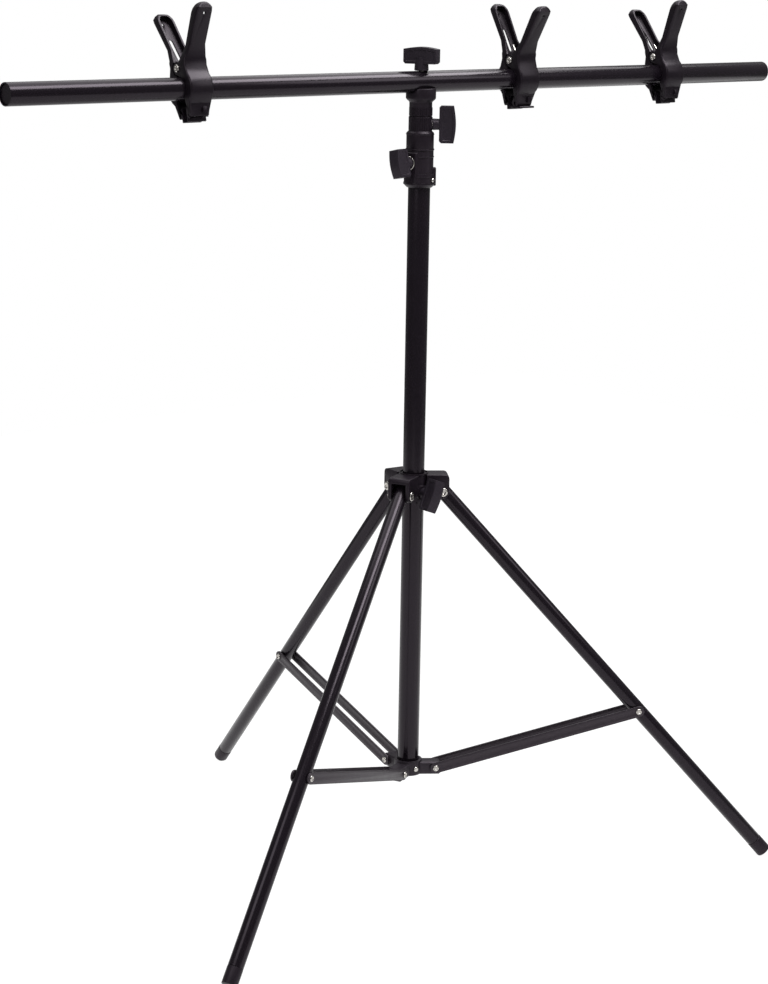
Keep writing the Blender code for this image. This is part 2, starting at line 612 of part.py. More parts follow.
def finish_collar(collar, name, top_bore, ledge, skirt_bore, frame):
    """Bores the collar in two steps, for its tube and the one above, and drills for its knob's screw."""
    profile = [
        (0, ledge + DRILL), (top_bore, ledge + DRILL), (top_bore, ledge), (skirt_bore, ledge),
        (skirt_bore, ledge - DRILL), (0, ledge - DRILL)]
    combine(collar, turned(name + "_bore", profile, TUBE_STEPS, axis), 'DIFFERENCE')
    hole = rod(name + "_screw_hole", SCREW_RADIUS + GAP, 2 * SHORT_DRILL, frame, (0, 0, 0))
    combine(collar, hole, 'DIFFERENCE')


def upper_mast_collar():
    """Collar fixed on the middle tube; its screw clamps the top section."""
    skirt_bore = MIDDLE_TUBE_RADIUS + SLIP
    top_bore = TOP_TUBE_RADIUS + SLIP
    skirt = skirt_bore + UPPER_COLLAR_SKIRT_WALL
    upper = top_bore + UPPER_COLLAR_TOP_WALL
    shoulder = upper_collar_bottom + UPPER_COLLAR_SHOULDER
    profile = [
        (0, upper_collar_top), (upper, upper_collar_top), (upper, shoulder + SHOULDER_CHAMFER),
        (skirt - SHOULDER_CHAMFER, shoulder), (skirt, shoulder - SHOULDER_CHAMFER),
        (skirt, upper_collar_bottom), (0, upper_collar_bottom)]
    collar = turned("upper_mast_collar", profile, TUBE_STEPS, axis, black_plastic)
    height = (shoulder + upper_collar_top) / 2
    frame = radial_frame("upper_knob_frame", UPPER_KNOB_AZIMUTH, UPPER_COLLAR_BOSS, height)
    boss_and_screw(
        collar, "upper_mast_collar", frame, UPPER_COLLAR_BOSS, top_bore, TOP_TUBE_RADIUS,
        UPPER_BOSS_RADIUS, UPPER_WING_LENGTH)
    finish_collar(collar, "upper", top_bore, upper_collar_ledge, skirt_bore, frame)


def tee_head():
    """Tee on the top tube: a socket below, and a flared saddle that the crossbar lies in."""
    bore = TOP_TUBE_RADIUS + SLIP
    outer = bore + TEE_WALL
    saddle_top = bar_height - BAR_RADIUS + TEE_SADDLE_RISE
    profile = [
        (0, saddle_top), (TEE_SADDLE_RADIUS, saddle_top),
        (TEE_SADDLE_RADIUS, tee_bottom + TEE_FLARE_END), (outer, tee_bottom + TEE_FLARE_START),
        (outer, tee_bottom), (0, tee_bottom)]
    tee = turned("tee_saddle", profile, TUBE_STEPS, axis, black_plastic)
    seat = rod(
        "tee_bar_seat", BAR_RADIUS + GAP, 2 * DRILL, axis, (0, 0, bar_height), (0, math.pi / 2, 0),
        TUBE_STEPS)
    combine(tee, seat, 'DIFFERENCE')
    socket = rod("tee_socket", bore, 2 * (TEE_SOCKET + GAP), axis, (0, 0, tee_bottom), steps=TUBE_STEPS)
    combine(tee, socket, 'DIFFERENCE')
    hole = rod("tee_bolt_hole", SCREW_RADIUS + GAP, DRILL, axis, (0, 0, bar_height - BAR_RADIUS))
    combine(tee, hole, 'DIFFERENCE')


def crossbar():
    """Straight tube with a bolt hole over the mast, and a plug in each end."""
    length = BAR_LEFT + BAR_RIGHT - 2 * PLUG_RIM
    middle = (BAR_RIGHT - BAR_LEFT) / 2
    frame = new_frame("crossbar_frame", (middle, 0, bar_height), (0, math.pi / 2, 0), axis)
    bar = tube(
        "crossbar", BAR_RADIUS, BAR_WALL, -length / 2, length / 2, TUBE_STEPS, frame, black_paint)
    hole = rod("crossbar_bolt_hole", SCREW_RADIUS + GAP, DRILL, axis, (0, 0, bar_height))
    combine(bar, hole, 'DIFFERENCE')
    inner = BAR_RADIUS - BAR_WALL - GAP
    rim = PLUG_RIM - GAP
    recess = BAR_RADIUS * 0.72
    profile = [
        (0, rim - PLUG_RECESS), (recess, rim - PLUG_RECESS), (recess, rim),
        (BAR_RADIUS - PLUG_CHAMFER, rim), (BAR_RADIUS, rim - PLUG_CHAMFER), (BAR_RADIUS, 0),
        (inner, 0), (inner, -PLUG_SPIGOT), (0, -PLUG_SPIGOT)]
    for name, place, turn in (
            ("bar_plug_left", -length / 2 - GAP, math.pi), ("bar_plug_right", length / 2 + GAP, 0)):
        turned(name, profile, TUBE_STEPS, frame, black_plastic, (0, 0, place), (turn, 0, 0))
    knob_frame = new_frame("top_knob_frame", (0, 0, bar_height + BAR_RADIUS), parent=axis)
    wing_knob("top_knob", knob_frame, TOP_WING_LENGTH, TOP_STEM_RADIUS, TOP_KNOB_TURN)
    knob_screw("top_bolt", knob_frame, 2 * BAR_RADIUS + TOP_BOLT_TAIL, BAR_RADIUS * 0.6)


def handle_bend():
    """The bend in a handle's outer face, about the pivot."""
    return CLAMP_HANDLE_SPREAD * 0.72, (CLAMP_HANDLE_RISE - CLAMP_PIVOT_RISE) * 0.53


def lever_side(inner):
    """Side outline of a clamp lever about its pivot; inner gives the hollow of its channel instead."""
    pivot = CLAMP_PIVOT_RISE
    wall = CLAMP_WALL if inner else 0
    bulge = BAR_RADIUS + CLAMP_BULGE_WALL - wall
    tip_out = PAD_PIVOT_OUT + JAW_BEYOND_PAD - wall
    rise = CLAMP_HANDLE_RISE - pivot
    floor = JAW_END_WALL if inner else 0
    outer = [(tip_out, floor - CLAMP_JAW_DROP - pivot)]
    outer += arc((0, -pivot), bulge, -50, 40, 8)
    outer += [
        (CLAMP_WAIST[0][0] - wall, CLAMP_WAIST[0][1]), (CLAMP_WAIST[1][0] - wall, CLAMP_WAIST[1][1]),
        (handle_bend()[0] - wall, handle_bend()[1]),
        (CLAMP_HANDLE_SPREAD + 0.0022 - wall * 1.2, rise - 0.006),
        (CLAMP_HANDLE_SPREAD + 0.0012 - wall, rise - wall * 1.4)]
    if inner:
        past = -BAR_RADIUS
        return outer + [(past, rise - wall * 1.4), (past, floor - CLAMP_JAW_DROP - pivot)]
    handle = [
        (CLAMP_HANDLE_SPREAD - CLAMP_HANDLE_DEPTH * 0.6, rise - 0.0015),
        (CLAMP_HANDLE_SPREAD - CLAMP_HANDLE_DEPTH, rise - 0.007), CLAMP_HANDLE_ROOT]
    throat = BAR_RADIUS + GAP
    lug = PAD_PIVOT_OUT - PAD_LUG
    behind_pad = PAD_PIVOT_OUT - PAD_STANDOFF + PAD_HALF_HEIGHT * 0.35
    pad_pivot = -pivot - PAD_PIVOT_DROP
    ear = arc((0, 0), CLAMP_EAR_RADIUS, 55, 262, 8)
    grip = arc((0, -pivot), throat, 66, -52, 7)
    return outer + handle + ear + grip + [
        (behind_pad, pad_pivot + 0.0085), (behind_pad, pad_pivot + PAD_LUG + 0.0012),
        (lug, pad_pivot + PAD_LUG * 0.8), (lug, pad_pivot - PAD_LUG * 0.5),
        (lug + 0.0012, -pivot - CLAMP_JAW_DROP)]


def lever_front(inset):
    """Front outline of a clamp lever about its pivot: wide at the bar, narrow at the handle."""
    pivot = CLAMP_PIVOT_RISE
    body = CLAMP_WIDTH / 2 - inset
    handle = CLAMP_HANDLE_WIDTH / 2 - inset
    tip = CLAMP_TIP_WIDTH / 2 - inset
    rise = CLAMP_HANDLE_RISE - pivot
    bottom = -CLAMP_JAW_DROP - pivot
    right = [
        (tip, 2 * bottom), (tip, bottom), (body, -pivot - BAR_RADIUS), (body, CLAMP_SHOULDER),
        (handle, CLAMP_NECK)]
    round_tip = arc((0, rise - handle - inset), handle, 0, 180, 9)
    left = [(-x, y) for x, y in reversed(right)]
    return right + round_tip + left


def clamp_lever(name, frame, ears_inside):
    """One moulded lever: a channel section cut from its side and front outlines.

    The lever whose ears are inside also has the slot along its handle."""
    pivot = CLAMP_PIVOT_RISE
    front_turn = (0, math.pi / 2, 0)
    lever = plate(name, [lever_side(False)], 2 * CLAMP_WIDTH, frame, black_plastic)
    front = plate(name + "_front", [lever_front(0)], 4 * DRILL, frame, turn=front_turn)
    combine(lever, front, 'INTERSECT')
    hollow = plate(name + "_hollow", [lever_side(True)], CLAMP_WIDTH, frame)
    hollow_front = plate(
        name + "_hollow_front", [lever_front(CLAMP_WALL)], 4 * DRILL, frame, turn=front_turn)
    combine(hollow, hollow_front, 'INTERSECT')
    combine(lever, hollow, 'DIFFERENCE')
    flange_inner = CLAMP_WIDTH / 2 - CLAMP_WALL
    if ears_inside:
        ear_outline = arc((0, 0), CLAMP_EAR_RADIUS, 80, 265, 8) + list(EAR_ROOT)
        relief_depth = 2 * CLAMP_WALL
        for side, sign in (("left", 1), ("right", -1)):
            ear = plate(
                f"{name}_{side}_ear", [ear_outline], CLAMP_WALL + EAR_OVERLAP, frame,
                place=(0, 0, sign * (flange_inner - CLAMP_WALL / 2)))
            combine(lever, ear, 'UNION')
            relief = rod(
                f"{name}_{side}_relief", CLAMP_EAR_RADIUS + EAR_RELIEF, relief_depth, frame,
                (0, 0, sign * (flange_inner - GAP + relief_depth / 2)), steps=LEG_STEPS)
            combine(lever, relief, 'DIFFERENCE')
    pin_hole = rod(name + "_pin_hole", CLAMP_PIN_RADIUS + PIN_CLEARANCE, DRILL, frame, (0, 0, 0))
    combine(lever, pin_hole, 'DIFFERENCE')
    if ears_inside:
        half_slot = CLAMP_SLOT_LENGTH / 2 - CLAMP_SLOT_WIDTH / 2
        slot_outline = arc((0, half_slot), CLAMP_SLOT_WIDTH / 2, 0, 180, 6)
        slot_outline += arc((0, -half_slot), CLAMP_SLOT_WIDTH / 2, 180, 360, 6)
        slot = plate(
            name + "_slot", [slot_outline], DRILL, frame, place=(DRILL / 2, CLAMP_SLOT_RISE, 0),
            turn=front_turn)
        combine(lever, slot, 'DIFFERENCE')
    hole_rise = CLAMP_HANDLE_RISE - pivot - CLAMP_HOLE_DROP
    hole = rod(name + "_hole", CLAMP_HOLE_RADIUS, 2 * DRILL, frame, (0, hole_rise, 0), front_turn, 10)
    combine(lever, hole, 'DIFFERENCE')
    pad_pivot = -pivot - PAD_PIVOT_DROP
    barrel_hole = rod(
        name + "_pad_hole", PAD_BARREL_RADIUS + GAP, DRILL, frame, (PAD_PIVOT_OUT, pad_pivot, 0))
    combine(lever, barrel_hole, 'DIFFERENCE')
    notch = block(
        name + "_notch", (NOTCH_DEPTH, NOTCH_HEIGHT, PAD_NECK_WIDTH + 4 * GAP), frame,
        (PAD_PIVOT_OUT + 2 * PAD_BARREL_RADIUS / 3 - PAD_STANDOFF, pad_pivot - NOTCH_HEIGHT / 2, 0))
    combine(lever, notch, 'DIFFERENCE')


def clamp_pad(name, frame):
    """Swivel pad at a jaw tip: a gripping plate on a neck and a barrel that is its pivot."""
    back = -PAD_STANDOFF
    face = back - PAD_THICKNESS
    outline = [
        (face, -PAD_HALF_HEIGHT), (back, -PAD_HALF_HEIGHT), (back, PAD_HALF_HEIGHT),
        (face, PAD_HALF_HEIGHT)]
    pad = plate(name, [outline], PAD_WIDTH, frame, black_plastic)
    round_edges(pad, PAD_EDGE, 1)
    neck = block(
        name + "_neck", (PAD_STANDOFF + PAD_EDGE, PAD_NECK_THICKNESS, PAD_NECK_WIDTH), frame,
        (-(PAD_STANDOFF + PAD_EDGE) / 2, 0, 0))
    combine(pad, neck, 'UNION')
    barrel = rod(name + "_barrel", PAD_BARREL_RADIUS, CLAMP_TIP_WIDTH - 2 * GAP, frame, (0, 0, 0))
    combine(pad, barrel, 'UNION')


def handle_face(rise):
    """How far out a handle's outer face is at this rise over the pivot, between its two bends."""
    low, high = CLAMP_WAIST[1], handle_bend()
    share = (rise - low[1]) / (high[1] - low[1])
    return low[0] + share * (high[0] - low[0])


def clamp_spring(name, frame):
    """Torsion spring round the pin: curls by formula, with a straight leg up each handle."""
    reach = handle_face(SPRING_LEG_RISE) - CLAMP_WALL - (SPRING_WIRE_RADIUS + GAP) * 1.09
    span = math.hypot(reach, SPRING_LEG_RISE)
    lean = math.atan2(SPRING_LEG_RISE, reach) + math.asin(SPRING_RADIUS / span)
    leg_length = math.sqrt(span ** 2 - SPRING_RADIUS ** 2)
    sweep = 2 * math.pi * SPRING_CURLS + 2 * lean
    half = SPRING_PITCH * sweep / (4 * math.pi)
    start = lean - math.pi / 2
    count = round(POINTS_PER_CURL * sweep / (2 * math.pi))
    curls = []
    for index in range(count + 1):
        angle = start - sweep * index / count
        place = half - 2 * half * index / count
        curls.append((SPRING_RADIUS * math.cos(angle), SPRING_RADIUS * math.sin(angle), place))
    ends = []
    for point, side in ((curls[0], 1), (curls[-1], -1)):
        run = side * leg_length * math.cos(lean)
        rise = leg_length * math.sin(lean)
        ends.append((point[0] + run, point[1] + rise, point[2]))
    points = [ends[0]] + curls + [ends[1]]
    curve = bpy.data.curves.new(name, 'CURVE')
    curve.dimensions = '3D'
    curve.bevel_depth = SPRING_WIRE_RADIUS
    curve.bevel_resolution = 1
    curve.use_fill_caps = True
    spline = curve.splines.new('POLY')
    spline.points.add(len(points) - 1)
    for point, place in zip(spline.points, points):
        point.co = (*place, 1)
    curve.materials.append(nickel)
    item = bpy.data.objects.new(name, curve)
    parts.objects.link(item)
    item.parent = frame
    return points


def least_self_gap(points):
    """Smallest clear distance between stretches of the spring's wire that are a curl apart."""
    apart = POINTS_PER_CURL // 2
    return min(
        math.dist(first, second) - 2 * SPRING_WIRE_RADIUS
        for index, first in enumerate(points) for second in points[index + apart:])


def clamp(number, place, tilt):
    """One spring clamp gripping the crossbar: two levers, their pin and spring, and two pads."""
    name = f"clamp_{number}"
    bar_frame = new_frame(name + "_bar_frame", (place, 0, bar_height), (tilt, 0, 0), axis)
    pin_place = (0, 0, CLAMP_PIVOT_RISE)
    frames = {
        "front": new_frame(name + "_front_frame", pin_place, (math.pi / 2, 0, -math.pi / 2), bar_frame),
        "rear": new_frame(name + "_rear_frame", pin_place, (math.pi / 2, 0, math.pi / 2), bar_frame)}
    for side, frame in frames.items():
        clamp_lever(f"{name}_{side}", frame, side == "rear")
        swing = -math.pi / 2 if (number, side) == FLIPPED_PAD else 0
        pad_frame = new_frame(
            f"{name}_{side}_pad_frame", (PAD_PIVOT_OUT, -CLAMP_PIVOT_RISE - PAD_PIVOT_DROP, 0),
            (0, 0, -swing), frame)
        clamp_pad(f"{name}_{side}_pad", pad_frame)
    under = CLAMP_WIDTH / 2 + GAP
    rim = under + HEAD_THICKNESS / 2
    top = under + HEAD_THICKNESS
    profile = [
        (0, top), (CLAMP_PIN_HEAD_RADIUS * 0.8, top), (CLAMP_PIN_HEAD_RADIUS, rim),
        (CLAMP_PIN_HEAD_RADIUS, under), (CLAMP_PIN_RADIUS, under),
        (CLAMP_PIN_RADIUS, -under), (CLAMP_PIN_HEAD_RADIUS, -under),
        (CLAMP_PIN_HEAD_RADIUS, -rim), (CLAMP_PIN_HEAD_RADIUS * 0.8, -top), (0, -top)]
    turned(name + "_pin", profile, SMALL_STEPS, frames["front"], nickel)
    return clamp_spring(name + "_spring", frames["front"])


for old in list(bpy.data.objects):
    bpy.data.objects.remove(old)

parts = new_collection("backdrop_stand")
cutters = new_collection("cutters")

black_paint = new_material("black_paint", (0.018, 0.017, 0.019), 0.28, 0.0)
black_plastic = new_material("black_plastic", (0.024, 0.023, 0.025), 0.55, 0.0)
cast_metal = new_material("cast_metal", (0.020, 0.019, 0.021), 0.45, 0.0)
rubber = new_material("rubber", (0.016, 0.016, 0.017), 0.75, 0.0)
nickel = new_material("nickel", (0.62, 0.60, 0.58), 0.25, 1.0)

axis = new_frame("mast_axis", (mast_x, mast_y, 0))

lower_hub()
tube(
    "lower_mast", LOWER_MAST_RADIUS, MAST_WALL, mast_bottom, mast_top, TUBE_STEPS, axis, black_paint)
leg_collar()
for number, azimuth in enumerate(LEG_AZIMUTHS, 1):
    leg(number, azimuth)
    brace(number, azimuth, -1 if number == 1 else 1)
lower_mast_collar()
tube(
    "middle_tube", MIDDLE_TUBE_RADIUS, MAST_WALL, middle_tube_top - MIDDLE_TUBE_LENGTH, middle_tube_top,
    TUBE_STEPS, axis, black_paint)
upper_mast_collar()
tube(
    "top_tube", TOP_TUBE_RADIUS, MAST_WALL, top_tube_top - TOP_TUBE_LENGTH, top_tube_top,
    TUBE_STEPS, axis, black_paint)
tee_head()
crossbar()
for number, (place, tilt) in enumerate(zip(CLAMP_PLACES, CLAMP_TILTS), 1):
    spring_points = clamp(number, place, tilt)

print(f"least gap of a clamp spring to itself: {least_self_gap(spring_points) * 1000:.2f} mm")
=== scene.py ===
# Backdrop stand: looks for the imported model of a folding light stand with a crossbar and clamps.
# Metres, +Z up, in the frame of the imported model. It runs from top to bottom in Blender.

import json
import math

import bmesh
import bpy
from mathutils import Matrix, Vector

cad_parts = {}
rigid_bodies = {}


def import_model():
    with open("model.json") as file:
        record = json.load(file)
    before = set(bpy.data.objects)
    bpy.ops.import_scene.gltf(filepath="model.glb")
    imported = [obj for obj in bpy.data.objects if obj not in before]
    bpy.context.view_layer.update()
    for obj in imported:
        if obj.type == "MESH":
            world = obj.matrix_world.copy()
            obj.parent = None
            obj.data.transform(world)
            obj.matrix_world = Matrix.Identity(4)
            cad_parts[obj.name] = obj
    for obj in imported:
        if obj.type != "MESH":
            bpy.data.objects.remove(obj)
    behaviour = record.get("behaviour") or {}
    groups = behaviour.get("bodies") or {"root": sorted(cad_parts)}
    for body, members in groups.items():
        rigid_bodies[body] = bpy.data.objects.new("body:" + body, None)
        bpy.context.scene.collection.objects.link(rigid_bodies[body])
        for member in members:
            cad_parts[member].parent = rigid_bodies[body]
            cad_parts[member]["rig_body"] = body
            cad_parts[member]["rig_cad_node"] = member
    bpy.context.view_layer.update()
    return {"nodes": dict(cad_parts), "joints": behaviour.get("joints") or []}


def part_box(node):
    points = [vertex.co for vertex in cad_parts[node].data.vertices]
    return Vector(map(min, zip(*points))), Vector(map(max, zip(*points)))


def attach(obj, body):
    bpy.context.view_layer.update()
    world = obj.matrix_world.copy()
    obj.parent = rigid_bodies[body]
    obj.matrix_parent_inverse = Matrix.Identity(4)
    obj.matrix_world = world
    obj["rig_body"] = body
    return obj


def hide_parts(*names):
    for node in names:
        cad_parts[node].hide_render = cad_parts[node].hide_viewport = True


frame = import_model()

# Camera and framing
# A long lens at the photograph's place: in front of the stand and to its left, a little above
# the crossbar, looking down. Its picture is 768 by 984 points.
PICTURE_HEIGHT = 984
FOCAL_POINTS = 2512.24
SENSOR = 36.0
CAMERA_DISTANCE = 2.6105
CAMERA_HEIGHT = 0.9919
CAMERA_AROUND = math.radians(40.19)
CAMERA_YAW = -0.0119
CAMERA_PITCH = 0.2185
CAMERA_ROLL = 0.0170
NEAREST = 0.05
FARTHEST = 40

mast_low, mast_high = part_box("lower_mast")
mast_x = (mast_low.x + mast_high.x) / 2
mast_y = (mast_low.y + mast_high.y) / 2

bpy.ops.object.camera_add()
camera = bpy.context.object
camera.name = "photo_camera"
camera.data.sensor_width = SENSOR
camera.data.lens = SENSOR * FOCAL_POINTS / PICTURE_HEIGHT
camera.data.clip_start = NEAREST
camera.data.clip_end = FARTHEST
around = Matrix.Rotation(-CAMERA_AROUND, 3, 'Z')
ahead = around @ Vector((
    math.sin(CAMERA_YAW) * math.cos(CAMERA_PITCH), math.cos(CAMERA_YAW) * math.cos(CAMERA_PITCH),
    -math.sin(CAMERA_PITCH)))
level = ahead.cross(Vector((0, 0, 1))).normalized()
upright = level.cross(ahead)
right = math.cos(CAMERA_ROLL) * level + math.sin(CAMERA_ROLL) * upright
up = math.cos(CAMERA_ROLL) * upright - math.sin(CAMERA_ROLL) * level
camera.rotation_euler = Matrix((right, up, -ahead)).transposed().to_euler()
camera.location = around @ Vector((0, -CAMERA_DISTANCE, 0)) + Vector((mast_x, mast_y, CAMERA_HEIGHT))
bpy.context.scene.camera = camera

# Tubes of the mast
# Three drawn aluminium tubes, one inside the other, anodised gloss black. The lower one carries
# the leg collar and stands in the hub; the other two slide up out of it.
TUBE_SIDES = 96
RIM_ROUND = 0.0003
RIM_ANGLE = math.radians(60)
SMOOTH_ANGLE = math.radians(35)
# How far a face's normal has to lie along an axis to face it, and across it to be a side
FACING = 0.9
SIDEWAYS = 0.1


def linear(code):
    """An sRGB hex colour as linear red, green, blue and alpha."""
    shares = [int(code[place:place + 2], 16) / 255 for place in (1, 3, 5)]
    levels = [
        share / 12.92 if share <= 0.04045 else ((share + 0.055) / 1.055) ** 2.4 for share in shares]
    return levels + [1]


def add_node(finish, kind, inputs=None, links=None, **settings):
    """Adds one shader node; links gives each input's source node and the output taken from it."""
    node = finish.node_tree.nodes.new(kind)
    for name, value in settings.items():
        setattr(node, name, value)
    for socket, value in (inputs or {}).items():
        node.inputs[socket].default_value = value
    for socket, (source, output) in (links or {}).items():
        finish.node_tree.links.new(source.outputs[output], node.inputs[socket])
    return node


def new_finish(name):
    """An empty material that a piece's section fills with its own nodes."""
    finish = bpy.data.materials.new(name)
    finish.use_nodes = True
    finish.node_tree.nodes.clear()
    return finish


def finish_piece(piece, name, finish, body, node_names=()):
    """Puts a shaped piece's place into its mesh, gives it its finish and sets it on its body."""
    bpy.ops.object.select_all(action='DESELECT')
    piece.select_set(True)
    bpy.context.view_layer.objects.active = piece
    bpy.ops.object.transform_apply(location=True, rotation=True, scale=True)
    for modifier in list(piece.modifiers):
        bpy.ops.object.modifier_apply(modifier=modifier.name)
    bpy.ops.object.shade_smooth_by_angle(angle=SMOOTH_ANGLE)
    piece.name = name
    piece.data.name = name
    piece.data.materials.clear()
    piece.data.materials.append(finish)
    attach(piece, body)
    if node_names:
        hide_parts(*node_names)
    return piece


def select_faces(piece, test):
    """Selects the faces whose centre and normal pass a test, in edit mode."""
    shape = bmesh.from_edit_mesh(piece.data)
    for face in shape.faces:
        face.select_set(bool(test(face.calc_center_median(), face.normal)))
    bmesh.update_edit_mesh(piece.data)


def drawn_tube(radius, wall, low, high, sides=TUBE_SIDES):
    """An open tube between two points, with rounded rims."""
    run = Vector(high) - Vector(low)
    bpy.ops.object.select_all(action='DESELECT')
    bpy.ops.mesh.primitive_cylinder_add(
        vertices=sides, radius=radius, depth=run.length, end_fill_type='NGON',
        location=(Vector(low) + Vector(high)) / 2, rotation=run.to_track_quat('Z', 'Y').to_euler())
    piece = bpy.context.object
    bpy.ops.object.mode_set(mode='EDIT')
    bpy.ops.mesh.select_mode(type='FACE')
    select_faces(piece, lambda centre, normal: abs(normal.z) > FACING)
    bpy.ops.mesh.inset(thickness=wall)
    bpy.ops.mesh.bridge_edge_loops()
    bpy.ops.object.mode_set(mode='OBJECT')
    rims = piece.modifiers.new("Rims", 'BEVEL')
    rims.width = RIM_ROUND
    rims.segments = 2
    rims.limit_method = 'ANGLE'
    rims.angle_limit = RIM_ANGLE
    return piece


# Black anodised aluminium: a dyed oxide under a clear seal, nearly black, with a faint grain from
# drawing and a shallow unevenness that soften its reflections. The grain is drawn about ten times
# as coarse as a real one, to show. The gloss of this and of the other black finishes is very
# slightly purple.
TUBE_BLACK = "#0f0b10"
COOL_GLOSS = "#fff0ff"
DRAW_GRAIN = 0.0012
UNEVEN = 0.012

anodised_aluminium = new_finish("black_anodised_aluminium_tube")
coordinates = add_node(anodised_aluminium, 'ShaderNodeTexCoord')
unevenness = add_node(
    anodised_aluminium, 'ShaderNodeTexNoise', {"Scale": 1 / UNEVEN, "Detail": 3.0, "Roughness": 0.5},
    {"Vector": (coordinates, "Object")})
grain = add_node(
    anodised_aluminium, 'ShaderNodeTexNoise', {"Scale": 1 / DRAW_GRAIN, "Detail": 2.0},
    {"Vector": (coordinates, "Object")})
gloss = add_node(
    anodised_aluminium, 'ShaderNodeMapRange', {"To Min": 0.17, "To Max": 0.24},
    {"Value": (unevenness, "Fac")})
tint = add_node(
    anodised_aluminium, 'ShaderNodeMapRange', {"To Min": 0.85, "To Max": 1.2}, {"Value": (grain, "Fac")})
shade = add_node(
    anodised_aluminium, 'ShaderNodeVectorMath', {0: linear(TUBE_BLACK)[:3]},
    {"Scale": (tint, "Result")}, operation='SCALE')
ripple = add_node(
    anodised_aluminium, 'ShaderNodeBump', {"Strength": 0.03, "Distance": 0.0001},
    {"Height": (grain, "Fac")})
shader = add_node(
    anodised_aluminium, 'ShaderNodeBsdfPrincipled',
    {"Specular IOR Level": 0.28, "Specular Tint": linear(COOL_GLOSS)},
    {"Base Color": (shade, "Vector"), "Roughness": (gloss, "Result"), "Normal": (ripple, "Normal")})
add_node(anodised_aluminium, 'ShaderNodeOutputMaterial', {}, {"Surface": (shader, "BSDF")})

WALL = 0.0012
for node, body, slot in (
        ("lower_mast", "stand", "coated_tube"), ("middle_tube", "middle_section", "coated_tube"),
        ("top_tube", "top_section", "coated_tube")):
    low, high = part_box(node)
    mast_tube = drawn_tube(
        (high.x - low.x) / 2, WALL, (mast_x, mast_y, low.z), (mast_x, mast_y, high.z))
    finish_piece(mast_tube, node + "_drawn", anodised_aluminium, body, [node])

# Hub under the mast
# A die-cast aluminium socket with three arms, painted satin black. The mast is pressed into it
# and held by a small screw, and each arm has a pair of brace strips riveted to its sides.
CAST_EDGE = 0.0005
MERGE = 0.000002
FLAT_ANGLE = math.radians(1.0)
EDGE_ANGLE = math.radians(32)


def moulded_copy(node, edge, segments=2):
    """A copy of a solid's own mesh, merged and with its edges rounded."""
    bpy.ops.object.select_all(action='DESELECT')
    piece = frame["nodes"][node].copy()
    piece.data = piece.data.copy()
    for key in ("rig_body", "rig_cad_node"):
        del piece[key]
    piece.parent = None
    bpy.context.scene.collection.objects.link(piece)
    piece.hide_render = False
    piece.hide_viewport = False
    piece.select_set(True)
    bpy.context.view_layer.objects.active = piece
    bpy.ops.object.mode_set(mode='EDIT')
    bpy.ops.mesh.select_all(action='SELECT')
    bpy.ops.mesh.remove_doubles(threshold=MERGE)
    bpy.ops.mesh.dissolve_limited(angle_limit=FLAT_ANGLE)
    bpy.ops.object.mode_set(mode='OBJECT')
    rounding = piece.modifiers.new("Edges", 'BEVEL')
    rounding.width = edge
    rounding.segments = segments
    rounding.limit_method = 'ANGLE'
    rounding.angle_limit = EDGE_ANGLE
    return piece


# Cast aluminium under satin paint: a sand texture that the paint fills only partly, drawn about
# twice as coarse as a real one, to show.
CAST_BLACK = "#1a161b"
SAND = 0.0007

painted_casting = new_finish("satin_painted_cast_aluminium")
coordinates = add_node(painted_casting, 'ShaderNodeTexCoord')
sand = add_node(
    painted_casting, 'ShaderNodeTexNoise', {"Scale": 1 / SAND, "Detail": 4.0, "Roughness": 0.6},
    {"Vector": (coordinates, "Object")})
tone = add_node(
    painted_casting, 'ShaderNodeMapRange', {"To Min": 0.8, "To Max": 1.35}, {"Value": (sand, "Fac")})
shade = add_node(
    painted_casting, 'ShaderNodeVectorMath', {0: linear(CAST_BLACK)[:3]}, {"Scale": (tone, "Result")},
    operation='SCALE')
sheen = add_node(
    painted_casting, 'ShaderNodeMapRange', {"To Min": 0.36, "To Max": 0.52}, {"Value": (sand, "Fac")})
relief = add_node(
    painted_casting, 'ShaderNodeBump', {"Strength": 0.35, "Distance": 0.0001}, {"Height": (sand, "Fac")})
shader = add_node(
    painted_casting, 'ShaderNodeBsdfPrincipled',
    {"Specular IOR Level": 0.3, "Specular Tint": linear(COOL_GLOSS)},
    {"Base Color": (shade, "Vector"), "Roughness": (sheen, "Result"), "Normal": (relief, "Normal")})
add_node(painted_casting, 'ShaderNodeOutputMaterial', {}, {"Surface": (shader, "BSDF")})

hub = moulded_copy("brace_hub", CAST_EDGE)
finish_piece(hub, "cast_hub", painted_casting, "stand", ["brace_hub"])

# Rivets
# Steel eyelet rivets, nickel plated, that the legs and braces turn on. Each is one piece with a
# head at both ends, rolled outwards round a sunk middle.
RIVET_SIDES = 40
RIVET_SHANK = 0.0020
RIVET_RISE = 0.0012
RIVET_WELL = 0.45

# Bright nickel plate on steel: a mirror that small tumbling marks break up, drawn several times as
# coarse as real ones, to show.
NICKEL = "#c9c5c0"
TUMBLE = 0.0009

